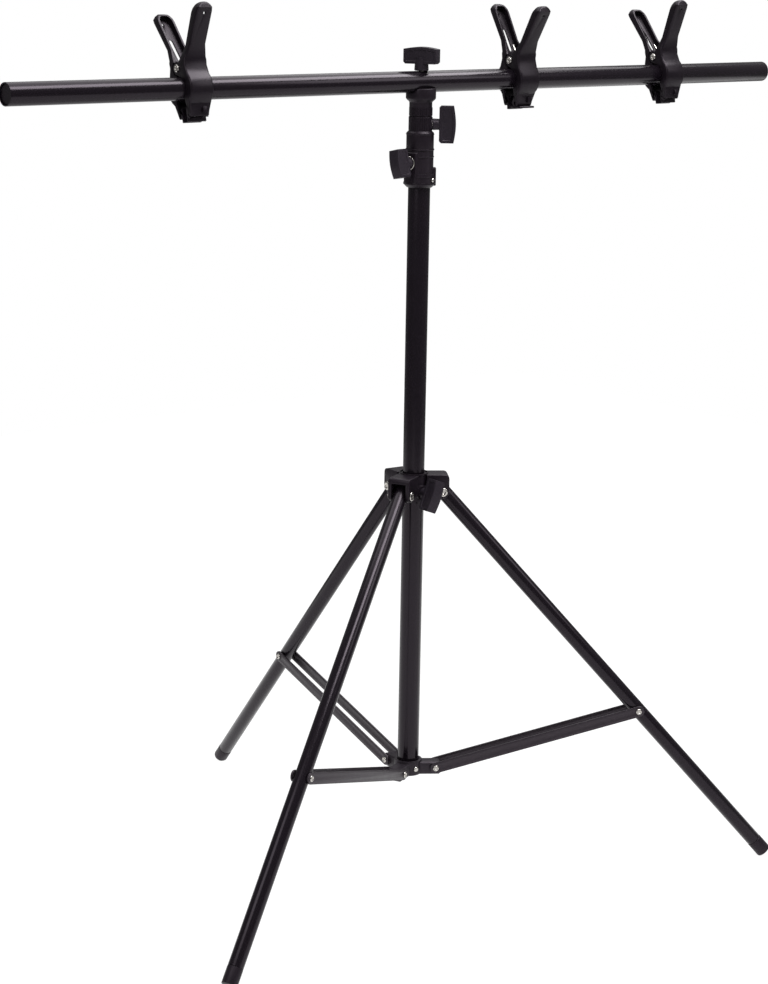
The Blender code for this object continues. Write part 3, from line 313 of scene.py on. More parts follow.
nickel_plate = new_finish("bright_nickel_plate")
coordinates = add_node(nickel_plate, 'ShaderNodeTexCoord')
marks = add_node(
    nickel_plate, 'ShaderNodeTexNoise', {"Scale": 1 / TUMBLE, "Detail": 3.0, "Roughness": 0.65},
    {"Vector": (coordinates, "Object")})
polish = add_node(
    nickel_plate, 'ShaderNodeMapRange', {"To Min": 0.14, "To Max": 0.34}, {"Value": (marks, "Fac")})
tone = add_node(
    nickel_plate, 'ShaderNodeMapRange', {"To Min": 0.82, "To Max": 1.05}, {"Value": (marks, "Fac")})
shade = add_node(
    nickel_plate, 'ShaderNodeVectorMath', {0: linear(NICKEL)[:3]}, {"Scale": (tone, "Result")},
    operation='SCALE')
scratches = add_node(
    nickel_plate, 'ShaderNodeBump', {"Strength": 0.2, "Distance": 0.00005}, {"Height": (marks, "Fac")})
shader = add_node(
    nickel_plate, 'ShaderNodeBsdfPrincipled', {"Metallic": 1.0},
    {"Base Color": (shade, "Vector"), "Roughness": (polish, "Result"), "Normal": (scratches, "Normal")})
add_node(nickel_plate, 'ShaderNodeOutputMaterial', {}, {"Surface": (shader, "BSDF")})


def turned_piece(profile, sides=RIVET_SIDES):
    """A turned piece round local Z: the profile is drawn as one edge chain and spun a full turn."""
    bpy.ops.object.select_all(action='DESELECT')
    bpy.ops.mesh.primitive_plane_add(size=0.001, location=(0, 0, 0))
    piece = bpy.context.object
    bpy.ops.object.mode_set(mode='EDIT')
    bpy.ops.mesh.select_mode(type='VERT')
    bpy.ops.mesh.select_all(action='SELECT')
    bpy.ops.mesh.merge(type='CENTER')
    radius, height = profile[0]
    bpy.ops.transform.translate(value=(radius, 0, height))
    for (radius, height), (old_radius, old_height) in zip(profile[1:], profile):
        bpy.ops.mesh.extrude_region_move(
            TRANSFORM_OT_translate={"value": (radius - old_radius, 0, height - old_height)})
    bpy.ops.mesh.select_all(action='SELECT')
    bpy.ops.mesh.spin(steps=sides, angle=2 * math.pi, center=(0, 0, 0), axis=(0, 0, 1))
    bpy.ops.mesh.select_all(action='SELECT')
    bpy.ops.mesh.remove_doubles(threshold=MERGE / 2)
    bpy.ops.mesh.normals_make_consistent(inside=False)
    bpy.ops.object.mode_set(mode='OBJECT')
    return piece


def placed(source, place, turn):
    """A copy of a modelled piece with its own mesh, at another place."""
    piece = source.copy()
    piece.data = source.data.copy()
    bpy.context.scene.collection.objects.link(piece)
    piece.matrix_world = Matrix.LocRotScale(Vector(place), turn, None)
    return piece


def eyelet(reach, head):
    """A rivet along Z with a rolled head at each end; reach is from its middle to under a head."""
    well = head * RIVET_WELL
    # Points of the head from its sunk middle outwards: radius, and height as a share of the rise
    points = (
        (0, 0.35), (well * 0.75, 0.35), (well, 0.75), (head * 0.62, 1), (head * 0.80, 0.93),
        (head * 0.94, 0.62), (head, 0.25), (head * 0.98, 0), (RIVET_SHANK, 0))
    half = [(radius, reach + RIVET_RISE * share) for radius, share in points]
    return turned_piece(half + [(radius, -height) for radius, height in reversed(half)])


leg_joints = [
    joint for joint in frame["joints"]
    if joint["name"].startswith("leg_") and "fold" in joint["name"]]
brace_joints = [joint for joint in frame["joints"] if joint["name"].startswith("brace_")]
LEG_RIVET_REACH = 0.0126
LEG_RIVET_HEAD = 0.00475
HUB_RIVET_REACH = 0.0106
HUB_RIVET_HEAD = 0.00325

leg_rivet = eyelet(LEG_RIVET_REACH, LEG_RIVET_HEAD)
for joint in leg_joints:
    number = joint["name"].split("_")[1]
    facing = Vector(joint["axis"]).to_track_quat('Z', 'Y')
    piece = placed(leg_rivet, joint["pos_m"], facing)
    finish_piece(
        piece, f"leg_rivet_{number}", nickel_plate, "leg_collar", [f"leg_pin_{number}"])
bpy.data.objects.remove(leg_rivet)

hub_rivet = eyelet(HUB_RIVET_REACH, HUB_RIVET_HEAD)
for joint in brace_joints:
    number = joint["name"].split("_")[1]
    facing = Vector(joint["axis"]).to_track_quat('Z', 'Y')
    piece = placed(hub_rivet, joint["pos_m"], facing)
    finish_piece(
        piece, f"hub_rivet_{number}", nickel_plate, "stand", [f"hub_pin_{number}"])

# Legs
# Thin aluminium tubes in the same gloss black as the mast. The top of each turns on a rivet in
# the leg collar, and its lower end is plugged by a moulded foot.
LEG_TILT = math.radians(41.86)
LEG_RADIUS = 0.0080
LEG_WALL = 0.0010
LEG_OVERRUN = 0.0090
LEG_LENGTH = 0.5515
FOOT_VISIBLE = 0.0180

for joint in leg_joints:
    number = joint["name"].split("_")[1]
    pivot = Vector(joint["pos_m"])
    outward = Vector((pivot.x - mast_x, pivot.y - mast_y, 0)).normalized()
    along = outward * math.sin(LEG_TILT) - Vector((0, 0, 1)) * math.cos(LEG_TILT)
    leg = drawn_tube(
        LEG_RADIUS, LEG_WALL, pivot + along * (LEG_LENGTH - FOOT_VISIBLE), pivot - along * LEG_OVERRUN)
    finish_piece(
        leg, f"leg_tube_{number}", anodised_aluminium, f"leg_{number}",
        [f"leg_{number}"])

# Moulded polyethylene foot: matt, slightly waxy, scuffed pale where it meets the floor.
FOOT_BLACK = "#151016"
SCUFF_HEIGHT = 0.010
SCUFF_GRAIN = 0.00111
FOOT_EDGE = 0.0002

polyethylene_foot = new_finish("matt_polyethylene_foot")
coordinates = add_node(polyethylene_foot, 'ShaderNodeTexCoord')
height_split = add_node(
    polyethylene_foot, 'ShaderNodeSeparateXYZ', {}, {"Vector": (coordinates, "Object")})
low_end = add_node(
    polyethylene_foot, 'ShaderNodeMapRange',
    {"From Min": 0.0, "From Max": SCUFF_HEIGHT, "To Min": 1.0, "To Max": 0.0},
    {"Value": (height_split, "Z")})
scuffing = add_node(
    polyethylene_foot, 'ShaderNodeTexNoise',
    {"Scale": 1 / SCUFF_GRAIN, "Detail": 5.0, "Roughness": 0.7},
    {"Vector": (coordinates, "Object")})
scuffed = add_node(
    polyethylene_foot, 'ShaderNodeMath', {}, {0: (low_end, "Result"), 1: (scuffing, "Fac")},
    operation='MULTIPLY')
tone = add_node(
    polyethylene_foot, 'ShaderNodeMapRange', {"To Min": 1.0, "To Max": 2.6},
    {"Value": (scuffed, "Value")})
shade = add_node(
    polyethylene_foot, 'ShaderNodeVectorMath', {0: linear(FOOT_BLACK)[:3]}, {"Scale": (tone, "Result")},
    operation='SCALE')
relief = add_node(
    polyethylene_foot, 'ShaderNodeBump', {"Strength": 0.3, "Distance": 0.0001},
    {"Height": (scuffing, "Fac")})
shader = add_node(
    polyethylene_foot, 'ShaderNodeBsdfPrincipled',
    {"Roughness": 0.42, "Specular IOR Level": 0.25, "Specular Tint": linear(COOL_GLOSS)},
    {"Base Color": (shade, "Vector"), "Normal": (relief, "Normal")})
add_node(polyethylene_foot, 'ShaderNodeOutputMaterial', {}, {"Surface": (shader, "BSDF")})

for joint in leg_joints:
    number = joint["name"].split("_")[1]
    foot = moulded_copy(f"foot_{number}", FOOT_EDGE, 1)
    finish_piece(
        foot, f"moulded_foot_{number}", polyethylene_foot, f"leg_{number}",
        [f"foot_{number}"])

# Braces
# Two flat steel strips to each leg, blanked, with rounded ends, and dip painted semi-gloss
# black. They turn on the hub's rivets, and a small rivet pins them to the sides of the leg.
STRIP_EDGE = 0.0004

# Dip paint on steel: semi-gloss, with a tone and gloss that vary a little where it ran as it set.
STRIP_GREY = "#242024"
PAINT_FLOW = 0.00625

painted_strip = new_finish("semi_gloss_painted_steel_strip")
coordinates = add_node(painted_strip, 'ShaderNodeTexCoord')
flow = add_node(
    painted_strip, 'ShaderNodeTexNoise', {"Scale": 1 / PAINT_FLOW, "Detail": 3.0},
    {"Vector": (coordinates, "Object")})
tone = add_node(
    painted_strip, 'ShaderNodeMapRange', {"To Min": 0.85, "To Max": 1.15}, {"Value": (flow, "Fac")})
shade = add_node(
    painted_strip, 'ShaderNodeVectorMath', {0: linear(STRIP_GREY)[:3]}, {"Scale": (tone, "Result")},
    operation='SCALE')
sheen = add_node(
    painted_strip, 'ShaderNodeMapRange', {"To Min": 0.3, "To Max": 0.45}, {"Value": (flow, "Fac")})
relief = add_node(
    painted_strip, 'ShaderNodeBump', {"Strength": 0.15, "Distance": 0.0002}, {"Height": (flow, "Fac")})
shader = add_node(
    painted_strip, 'ShaderNodeBsdfPrincipled',
    {"Specular IOR Level": 0.35, "Specular Tint": linear(COOL_GLOSS)},
    {"Base Color": (shade, "Vector"), "Roughness": (sheen, "Result"), "Normal": (relief, "Normal")})
add_node(painted_strip, 'ShaderNodeOutputMaterial', {}, {"Surface": (shader, "BSDF")})

for joint in brace_joints:
    number = joint["name"].split("_")[1]
    body = f"brace_{number}"
    for side in ("left", "right"):
        strip = moulded_copy(f"brace_{number}_{side}", STRIP_EDGE)
        finish_piece(
            strip, f"brace_strip_{number}_{side}", painted_strip, body,
            [f"brace_{number}_{side}"])
    low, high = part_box(f"brace_{number}_rivet")
    middle = (low + high) / 2
    across = Vector(joint["axis"])
    middle -= across * (middle - Vector(joint["pos_m"])).dot(across)
    piece = placed(hub_rivet, middle, across.to_track_quat('Z', 'Y'))
    finish_piece(
        piece, f"leg_brace_rivet_{number}", nickel_plate, body,
        [f"brace_{number}_rivet"])
bpy.data.objects.remove(hub_rivet)

# Leg collar and the mast's two collars
# Injection-moulded nylon, matt black. The leg collar slides on the mast and forks over each leg;
# the other two are pinned to the tops of the lower and middle tubes and hold the tube above.
NYLON_EDGE = 0.0006

# Nylon from a spark-eroded mould: matt and nearly black, with broad, faint flow marks and a fine
# texture, drawn about five times as coarse as a real one, to show.
NYLON_BLACK = "#130e14"
SPARK = 0.0005
NYLON_FLOW = 0.0111

moulded_nylon = new_finish("matt_moulded_nylon")
coordinates = add_node(moulded_nylon, 'ShaderNodeTexCoord')
spark = add_node(
    moulded_nylon, 'ShaderNodeTexNoise', {"Scale": 1 / SPARK, "Detail": 3.0, "Roughness": 0.6},
    {"Vector": (coordinates, "Object")})
flow = add_node(
    moulded_nylon, 'ShaderNodeTexNoise', {"Scale": 1 / NYLON_FLOW, "Detail": 2.0},
    {"Vector": (coordinates, "Object")})
tone = add_node(
    moulded_nylon, 'ShaderNodeMapRange', {"To Min": 0.8, "To Max": 1.25}, {"Value": (flow, "Fac")})
shade = add_node(
    moulded_nylon, 'ShaderNodeVectorMath', {0: linear(NYLON_BLACK)[:3]}, {"Scale": (tone, "Result")},
    operation='SCALE')
sheen = add_node(
    moulded_nylon, 'ShaderNodeMapRange', {"To Min": 0.34, "To Max": 0.48}, {"Value": (spark, "Fac")})
relief = add_node(
    moulded_nylon, 'ShaderNodeBump', {"Strength": 0.3, "Distance": 0.00008}, {"Height": (spark, "Fac")})
shader = add_node(
    moulded_nylon, 'ShaderNodeBsdfPrincipled',
    {"Specular IOR Level": 0.23, "Specular Tint": linear(COOL_GLOSS)},
    {"Base Color": (shade, "Vector"), "Roughness": (sheen, "Result"), "Normal": (relief, "Normal")})
add_node(moulded_nylon, 'ShaderNodeOutputMaterial', {}, {"Surface": (shader, "BSDF")})

for node, body in (
        ("leg_collar", "leg_collar"), ("lower_mast_collar", "stand"),
        ("upper_mast_collar", "middle_section")):
    collar = moulded_copy(node, NYLON_EDGE)
    finish_piece(collar, node + "_moulded", moulded_nylon, body, [node])

# Beads and grip ribs on the collars
# Detail from the same moulds: beads round the two mast collars, a raised ring on the leg collar
# where the mast comes through, and fine upright ribs above and beside the upper knob.
BEAD_ROOT = 0.0006
# A bead's stand at its edges and the height of its flat, as shares of the whole
BEAD_SHOULDER = 0.6
BEAD_FLAT = 0.4
RIB_COUNT = 36
RIB_SLEEVE = 0.00008
RIB_STAND = 0.00035
RIB_SLOPE = 0.00018
RIB_CLEAR = math.radians(42)
KNOB_SIDE = math.radians(-40)


def moulded_bead(radius, stand, height, middle):
    """A bead with chamfered edges round the mast, on a collar of this radius."""
    half = height / 2
    root = radius - BEAD_ROOT
    edge = radius + stand * BEAD_SHOULDER
    crown = radius + stand
    bead = turned_piece([
        (root, -half), (edge, -half), (crown, -half * BEAD_FLAT),
        (crown, half * BEAD_FLAT), (edge, half), (root, half), (root, -half)], TUBE_SIDES)
    bead.location = (mast_x, mast_y, middle)
    return bead


def grip_ribs(radius, low, high, clear):
    """A thin sleeve with upright ribs, which leaves the knob's boss clear."""
    sleeve = drawn_tube(radius + RIB_SLEEVE, BEAD_ROOT, (0, 0, low), (0, 0, high), 2 * RIB_COUNT)
    sleeve.modifiers.clear()
    bpy.ops.object.mode_set(mode='EDIT')
    bpy.ops.mesh.select_mode(type='FACE')
    pitch = math.pi / RIB_COUNT

    def is_rib(centre, normal):
        angle = math.atan2(centre.y, centre.x)
        off_boss = abs((angle - clear + math.pi) % (2 * math.pi) - math.pi)
        outside = centre.x * normal.x + centre.y * normal.y > 0 and abs(normal.z) < SIDEWAYS
        return outside and int(angle // pitch) % 2 == 0 and off_boss > RIB_CLEAR

    select_faces(sleeve, is_rib)
    bpy.ops.mesh.inset(thickness=RIB_SLOPE, depth=RIB_STAND, use_individual=True)
    bpy.ops.object.mode_set(mode='OBJECT')
    sleeve.location += Vector((mast_x, mast_y, 0))
    return sleeve


lower_low, lower_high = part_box("lower_mast_collar")
upper_low, upper_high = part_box("upper_mast_collar")
tee_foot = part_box("tee_saddle")[0].z
fork_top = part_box("leg_collar")[1].z
# Each bead's name, body, collar radius, stand off the collar, height and middle height
for name, body, radius, stand, height, middle in (
        ("lower_collar_top_bead", "stand", 0.0143, 0.0005, 0.0012, lower_high.z - 0.0061),
        ("lower_collar_skirt_bead", "stand", 0.0158, 0.0004, 0.0012, lower_low.z + 0.0111),
        ("upper_collar_lip", "middle_section", 0.0143, 0.0006, 0.0016, upper_low.z + 0.0010),
        ("upper_collar_bead", "middle_section", 0.0143, 0.0004, 0.0010, upper_low.z + 0.0165),
        ("leg_collar_ring", "leg_collar", 0.0151, 0.0006, 0.0024, fork_top)):
    bead = moulded_bead(radius, stand, height, middle)
    finish_piece(bead, name, moulded_nylon, body)
# Each ribbed sleeve's name, body, collar radius and lower and upper height
for name, body, radius, low, high in (
        ("upper_collar_ribs", "middle_section", 0.0122, upper_low.z + 0.0208, upper_high.z - 0.0008),
        ("tee_socket_ribs", "head", 0.0119, tee_foot + 0.0006, tee_foot + 0.0090)):
    ribs = grip_ribs(radius, low, high, KNOB_SIDE)
    finish_piece(ribs, name, moulded_nylon, body)

# Wing knobs and their screws
# Moulded nylon wings, each on a steel screw with a washer, that clamp the collars and the
# crossbar. The wing's flat sides are sunk a little inside a rim along the outer edge.
WING_THICKNESS = 0.0120
WING_DEPTH = 0.0150
WING_CROWN = 0.0022
CROWN_STEPS = 12
WING_CHAMFER = 0.0020
WING_ROUND = 0.0011
ROUND_ANGLE = math.radians(50)
RIM_WIDTH = 0.0028
PANEL_SINK = 0.0005
STEM_START = 0.0016
CLOSE_STEM = 0.0003
STEM_LENGTH = 0.0055
STEM_ROUND = 0.0006
# How deep the stem runs into the wing, and how thick its neck is, as shares
STEM_IN_WING = 0.45
STEM_NECK = 0.95

# The wings are of the same nylon as the collars; their lighter base colour is painted light on the
# knobs.
WING_PAINTED_LIGHT = "#1e1a20"
painted_light_wing_nylon = moulded_nylon.copy()
painted_light_wing_nylon.name = "matt_moulded_nylon_wing_painted_light"
painted_light_wing_nylon.node_tree.nodes["Vector Math"].inputs[0].default_value = linear(WING_PAINTED_LIGHT)[:3]


def drawn_plate(outline, thickness):
    """A flat piece in the local XZ plane: its outline is drawn point by point, filled and extruded."""
    bpy.ops.object.select_all(action='DESELECT')
    bpy.ops.mesh.primitive_plane_add(size=0.001, location=(0, 0, 0))
    piece = bpy.context.object
    bpy.ops.object.mode_set(mode='EDIT')
    bpy.ops.mesh.select_mode(type='VERT')
    bpy.ops.mesh.select_all(action='SELECT')
    bpy.ops.mesh.merge(type='CENTER')
    x, z = outline[0]
    bpy.ops.transform.translate(value=(x, -thickness / 2, z))
    for (x, z), (old_x, old_z) in zip(outline[1:], outline):
        bpy.ops.mesh.extrude_region_move(TRANSFORM_OT_translate={"value": (x - old_x, 0, z - old_z)})
    bpy.ops.mesh.select_all(action='SELECT')
    bpy.ops.mesh.edge_face_add()
    bpy.ops.mesh.extrude_region_move(TRANSFORM_OT_translate={"value": (0, thickness, 0)})
    bpy.ops.mesh.select_all(action='SELECT')
    bpy.ops.mesh.normals_make_consistent(inside=False)
    bpy.ops.object.mode_set(mode='OBJECT')
    return piece


def join_pieces(pieces):
    """Joins the pieces into the first one's mesh."""
    bpy.ops.object.select_all(action='DESELECT')
    for piece in pieces:
        piece.select_set(True)
    bpy.context.view_layer.objects.active = pieces[0]
    bpy.ops.object.join()
    return bpy.context.object


def wing_knob(length, stem_radius, stem_start):
    """A wing on a stem along +Z, as it comes from the mould."""
    half = length / 2
    stem_end = STEM_START + STEM_LENGTH
    outline = [
        (-half, stem_end + WING_CHAMFER), (-half + WING_CHAMFER, stem_end),
        (half - WING_CHAMFER, stem_end), (half, stem_end + WING_CHAMFER)]
    for step in range(CROWN_STEPS + 1):
        share = step / CROWN_STEPS
        outline.append((
            half * (1 - 2 * share), stem_end + WING_DEPTH + WING_CROWN * math.sin(math.pi * share)))
    wing = drawn_plate(outline, WING_THICKNESS)
    bpy.ops.object.mode_set(mode='EDIT')
    bpy.ops.mesh.select_mode(type='FACE')
    select_faces(wing, lambda centre, normal: abs(normal.y) > FACING)
    bpy.ops.mesh.inset(thickness=RIM_WIDTH)
    bpy.ops.mesh.inset(thickness=PANEL_SINK, depth=-PANEL_SINK)
    bpy.ops.object.mode_set(mode='OBJECT')
    edges = wing.modifiers.new("Edges", 'BEVEL')
    edges.width = WING_ROUND
    edges.segments = 4
    edges.limit_method = 'ANGLE'
    edges.angle_limit = ROUND_ANGLE
    bpy.ops.object.modifier_apply(modifier="Edges")
    stem_top = stem_end + WING_DEPTH * STEM_IN_WING
    stem_neck = stem_radius * STEM_NECK
    stem = turned_piece([
        (0, stem_start), (stem_radius - STEM_ROUND, stem_start), (stem_radius, stem_start + STEM_ROUND),
        (stem_neck, stem_end), (stem_neck, stem_top), (0, stem_top)])
    return join_pieces([wing, stem])


WASHER_GAP = 0.0003
WASHER_TOP = 0.0013
WASHER_TOP_EDGE = 0.0003
WASHER_LOW_EDGE = 0.0002
SCREW_RADIUS = 0.0025
SCREW_GRIP = 0.0080
SCREW_POINT = 0.0006


def washered_screw(reach, washer):
    """A screw along Z with the washer that its knob presses on the collar."""
    return turned_piece([
        (0, WASHER_TOP + SCREW_GRIP), (SCREW_RADIUS, WASHER_TOP + SCREW_GRIP),
        (SCREW_RADIUS, WASHER_TOP), (washer - WASHER_TOP_EDGE, WASHER_TOP),
        (washer, WASHER_TOP - WASHER_TOP_EDGE), (washer, WASHER_GAP + WASHER_LOW_EDGE),
        (washer - WASHER_LOW_EDGE, WASHER_GAP), (SCREW_RADIUS, WASHER_GAP),
        (SCREW_RADIUS, -reach + SCREW_POINT), (SCREW_RADIUS - SCREW_POINT, -reach), (0, -reach)])


KNOB_STEM = 0.0060
# Each knob's node, body, direction and turn in degrees, wing length, screw reach and washer radius
for node, body, azimuth, turn, length, reach, washer in (
        ("leg_collar_knob", "leg_collar_knob", 265, -20, 0.0340, 0.0072, 0.0050),
        ("lower_mast_collar_knob", "lower_knob", 190, 13, 0.0290, 0.0058, 0.0070),
        ("upper_mast_collar_knob", "upper_knob", -40, 0, 0.0380, 0.0035, 0.0050)):
    joint = next(joint for joint in frame["joints"] if joint["child"] == body)
    facing = (
        Matrix.Rotation(math.radians(azimuth), 4, 'Z') @ Matrix.Rotation(math.pi / 2, 4, 'Y')
        @ Matrix.Rotation(math.radians(turn), 4, 'Z')).to_quaternion()
    knob = wing_knob(length, KNOB_STEM, STEM_START if washer > KNOB_STEM else CLOSE_STEM)
    knob.matrix_world = Matrix.LocRotScale(Vector(joint["pos_m"]), facing, None)
    # The wing's nylon carries painted light: a base colour lighter than the collars' own.
    finish_piece(knob, node + "_wing", painted_light_wing_nylon, body, [node])
    screw = washered_screw(reach, washer)
    screw.matrix_world = Matrix.LocRotScale(Vector(joint["pos_m"]), facing, None)
    finish_piece(screw, node + "_washered_screw", nickel_plate, body, [node + "_screw"])

bar_low, bar_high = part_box("crossbar")
bar_height = (bar_low.z + bar_high.z) / 2
bar_radius = (bar_high.z - bar_low.z) / 2
bar_top = Vector((mast_x, mast_y, bar_height + bar_radius))
TOP_KNOB_TURN = math.radians(-60)
TOP_KNOB_LENGTH = 0.0360
TOP_KNOB_STEM = 0.0074
BOLT_BELOW_BAR = 0.0095
TOP_WASHER = 0.0066
top_wing = wing_knob(TOP_KNOB_LENGTH, TOP_KNOB_STEM, CLOSE_STEM)
turned = Matrix.Rotation(TOP_KNOB_TURN, 3, 'Z').to_quaternion()
top_wing.matrix_world = Matrix.LocRotScale(bar_top, turned, None)
finish_piece(top_wing, "top_knob_wing", painted_light_wing_nylon, "top_knob", ["top_knob"])
top_screw = washered_screw(2 * bar_radius + BOLT_BELOW_BAR, TOP_WASHER)
top_screw.location = bar_top
finish_piece(top_screw, "top_washered_bolt", nickel_plate, "top_knob", ["top_bolt"])

# Small fixing screws
# Two nickel-plated pan-head screws with a cross recess: one holds the hub to the mast, the
# other the lower collar.
SCREW_EDGE = 0.00015
for node, name in (("hub_screw", "hub_fixing_screw"), ("collar_screw", "collar_fixing_screw")):
    screw = moulded_copy(node, SCREW_EDGE)
    finish_piece(screw, name, nickel_plate, "stand", [node])

# Tee head and crossbar
# A moulded nylon tee on the top tube, with a saddle that the crossbar lies in. The crossbar is
# one straight anodised tube with a moulded plug sunk in each end.
PLUG_DEPTH = 0.0150
PLUG_SUNK = 0.0016
PLUG_ROUND = 0.0010
PLUG_DISH = 0.0008
END_MARGIN = 0.0001
tee = moulded_copy("tee_saddle", NYLON_EDGE)
finish_piece(tee, "tee_saddle_moulded", moulded_nylon, "head", ["tee_saddle"])
bar_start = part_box("bar_plug_left")[0].x + END_MARGIN
bar_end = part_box("bar_plug_right")[1].x - END_MARGIN
bar = drawn_tube(bar_radius, WALL, (bar_start, mast_y, bar_height), (bar_end, mast_y, bar_height))
finish_piece(bar, "crossbar_drawn", anodised_aluminium, "head", ["crossbar"])
plug_radius = bar_radius - WALL
for node, end, outward in (("bar_plug_left", bar_start, -1), ("bar_plug_right", bar_end, 1)):
    plug = turned_piece([
        (0, -PLUG_SUNK), (plug_radius - PLUG_ROUND, -PLUG_SUNK),
        (plug_radius, -PLUG_SUNK - PLUG_DISH), (plug_radius, -PLUG_DEPTH), (0, -PLUG_DEPTH)])
    facing = Vector((outward, 0, 0)).to_track_quat('Z', 'Y')
    plug.matrix_world = Matrix.LocRotScale(Vector((end, mast_y, bar_height)), facing, None)
    finish_piece(plug, node + "_moulded", moulded_nylon, "head", [node])

# Spring clamps
# Three spring clamps of moulded ABS: two channel-shaped levers on a nickel-plated pin, a
# torsion spring round the pin, and a swivelling pad at each jaw.
LEVER_EDGE = 0.0004
LEVER_CORNER = 0.0024
# How far the two faces at a rounded corner may turn: the outer one outwards, the side one across
OUTER_FACING = 0.4
SIDE_FACING = 0.35
SLOT_ROOM = 0.0045
HANDLE_TOP = 0.0540
WINDOW_PLACE = (0.0042, -0.0125, -0.0410)
WINDOW_SIZE = (0.0048, 0.0032, 0.0056)
PAD_EDGE = 0.0003
# How far each clamp leans on the crossbar, in degrees
CLAMP_TILTS = (-11.4, 0, -10)

# ABS from a smoother mould: satin and nearly black, with broad flow marks and a fine texture, drawn
# about four times as coarse as a real one, to show.
ABS_BLACK = "#110d12"
ABS_FLOW = 0.0143
ABS_SPARK = 0.000385

moulded_abs = new_finish("satin_moulded_abs")
coordinates = add_node(moulded_abs, 'ShaderNodeTexCoord')
flow = add_node(
    moulded_abs, 'ShaderNodeTexNoise', {"Scale": 1 / ABS_FLOW, "Detail": 2.0},
    {"Vector": (coordinates, "Object")})
spark = add_node(
    moulded_abs, 'ShaderNodeTexNoise', {"Scale": 1 / ABS_SPARK, "Detail": 2.0},
    {"Vector": (coordinates, "Object")})
tone = add_node(
    moulded_abs, 'ShaderNodeMapRange', {"To Min": 0.85, "To Max": 1.2}, {"Value": (flow, "Fac")})
shade = add_node(
    moulded_abs, 'ShaderNodeVectorMath', {0: linear(ABS_BLACK)[:3]}, {"Scale": (tone, "Result")},
    operation='SCALE')
sheen = add_node(
    moulded_abs, 'ShaderNodeMapRange', {"To Min": 0.28, "To Max": 0.38}, {"Value": (flow, "Fac")})
relief = add_node(
    moulded_abs, 'ShaderNodeBump', {"Strength": 0.15, "Distance": 0.00006}, {"Height": (spark, "Fac")})
shader = add_node(
    moulded_abs, 'ShaderNodeBsdfPrincipled',
    {"Specular IOR Level": 0.21, "Specular Tint": linear(COOL_GLOSS)},
    {"Base Color": (shade, "Vector"), "Roughness": (sheen, "Result"), "Normal": (relief, "Normal")})
add_node(moulded_abs, 'ShaderNodeOutputMaterial', {}, {"Surface": (shader, "BSDF")})


def round_corners(lever, pivot, outward):
    """Rounds the long corners between a lever's outer face and its sides."""
    up = Vector((1, 0, 0)).cross(outward)
    up = up if up.z > 0 else -up
    shape = bmesh.new()
    shape.from_mesh(lever.data)
    weight = shape.edges.layers.float.new("bevel_weight_edge")
    for edge in shape.edges:
        if len(edge.link_faces) != 2:
            continue
        middle = (edge.verts[0].co + edge.verts[1].co) / 2 - pivot
        facing = sorted(face.normal.dot(outward) for face in edge.link_faces)
        by_slot = abs(middle.x) < SLOT_ROOM and middle.dot(up) < HANDLE_TOP
        at_corner = facing[1] > OUTER_FACING and abs(facing[0]) < SIDE_FACING
        if at_corner and middle.dot(outward) > 0 and not by_slot:
            edge[weight] = 1.0
    shape.to_mesh(lever.data)
    shape.free()
    corners = lever.modifiers.new("Corners", 'BEVEL')
    corners.width = LEVER_CORNER
    corners.segments = 5
    corners.limit_method = 'WEIGHT'
    corners.use_clamp_overlap = False
    bpy.ops.object.modifier_move_to_index(modifier="Corners", index=0)
    bpy.ops.object.modifier_apply(modifier="Corners")


def sink_window(lever, place, size, tilt):
    """Sinks the small moulded window by the front jaw's tip."""
    bpy.ops.object.select_all(action='DESELECT')
    bpy.ops.mesh.primitive_cube_add(size=1, location=place, rotation=tilt.to_euler())
    cutter = bpy.context.object
    cutter.scale = size
    bpy.ops.object.select_all(action='DESELECT')
    lever.select_set(True)
    bpy.context.view_layer.objects.active = lever
    window = lever.modifiers.new("Window", 'BOOLEAN')
    window.operation = 'DIFFERENCE'
    window.object = cutter
    bpy.ops.object.modifier_move_to_index(modifier="Window", index=0)
    bpy.ops.object.modifier_apply(modifier="Window")
    bpy.data.objects.remove(cutter)


PIN_REACH = 0.0138
PIN_HEAD = 0.0036
pivot_pin = eyelet(PIN_REACH, PIN_HEAD)
for number in (1, 2, 3):
    clamp = f"clamp_{number}"
    hinge = next(joint for joint in frame["joints"] if joint["name"] == f"{clamp}_front_squeeze")
    tilt = Matrix.Rotation(math.radians(CLAMP_TILTS[number - 1]), 3, 'X')
    pivot = Vector(hinge["pos_m"])
    for side, sign in (("front", -1), ("rear", 1)):
        lever = moulded_copy(f"{clamp}_{side}", LEVER_EDGE)
        round_corners(lever, pivot, tilt @ Vector((0, sign, 0)))
        if side == "front":
            sink_window(lever, pivot + tilt @ Vector(WINDOW_PLACE), WINDOW_SIZE, tilt)
        finish_piece(
            lever, f"{clamp}_{side}_lever", moulded_abs, f"{clamp}_{side}",
            [f"{clamp}_{side}"])
        pad = moulded_copy(f"{clamp}_{side}_pad", PAD_EDGE)
        finish_piece(
            pad, f"{clamp}_{side}_pad_moulded", moulded_abs, f"{clamp}_{side}_pad",
            [f"{clamp}_{side}_pad"])
    pin = placed(pivot_pin, pivot, Vector((1, 0, 0)).to_track_quat('Z', 'Y'))
    finish_piece(pin, f"{clamp}_pivot_pin", nickel_plate, clamp, [f"{clamp}_pin"])
bpy.data.objects.remove(pivot_pin)

# Torsion springs
# Bright drawn wire, coiled round each pin, with a straight leg up the inside of each handle.
# The coil stays on the pin; its legs move with the handles.
WIRE = 0.0007
COIL_RADIUS = 0.0042
COIL_TURNS = 4
COIL_PITCH = 0.0021
COIL_STEPS = 28
LEG_RISE = 0.0150
LEG_REACH = 0.0145

span = math.hypot(LEG_REACH, LEG_RISE)
lean = math.atan2(LEG_RISE, LEG_REACH) + math.asin(COIL_RADIUS / span)
wire_leg = math.sqrt(span ** 2 - COIL_RADIUS ** 2)


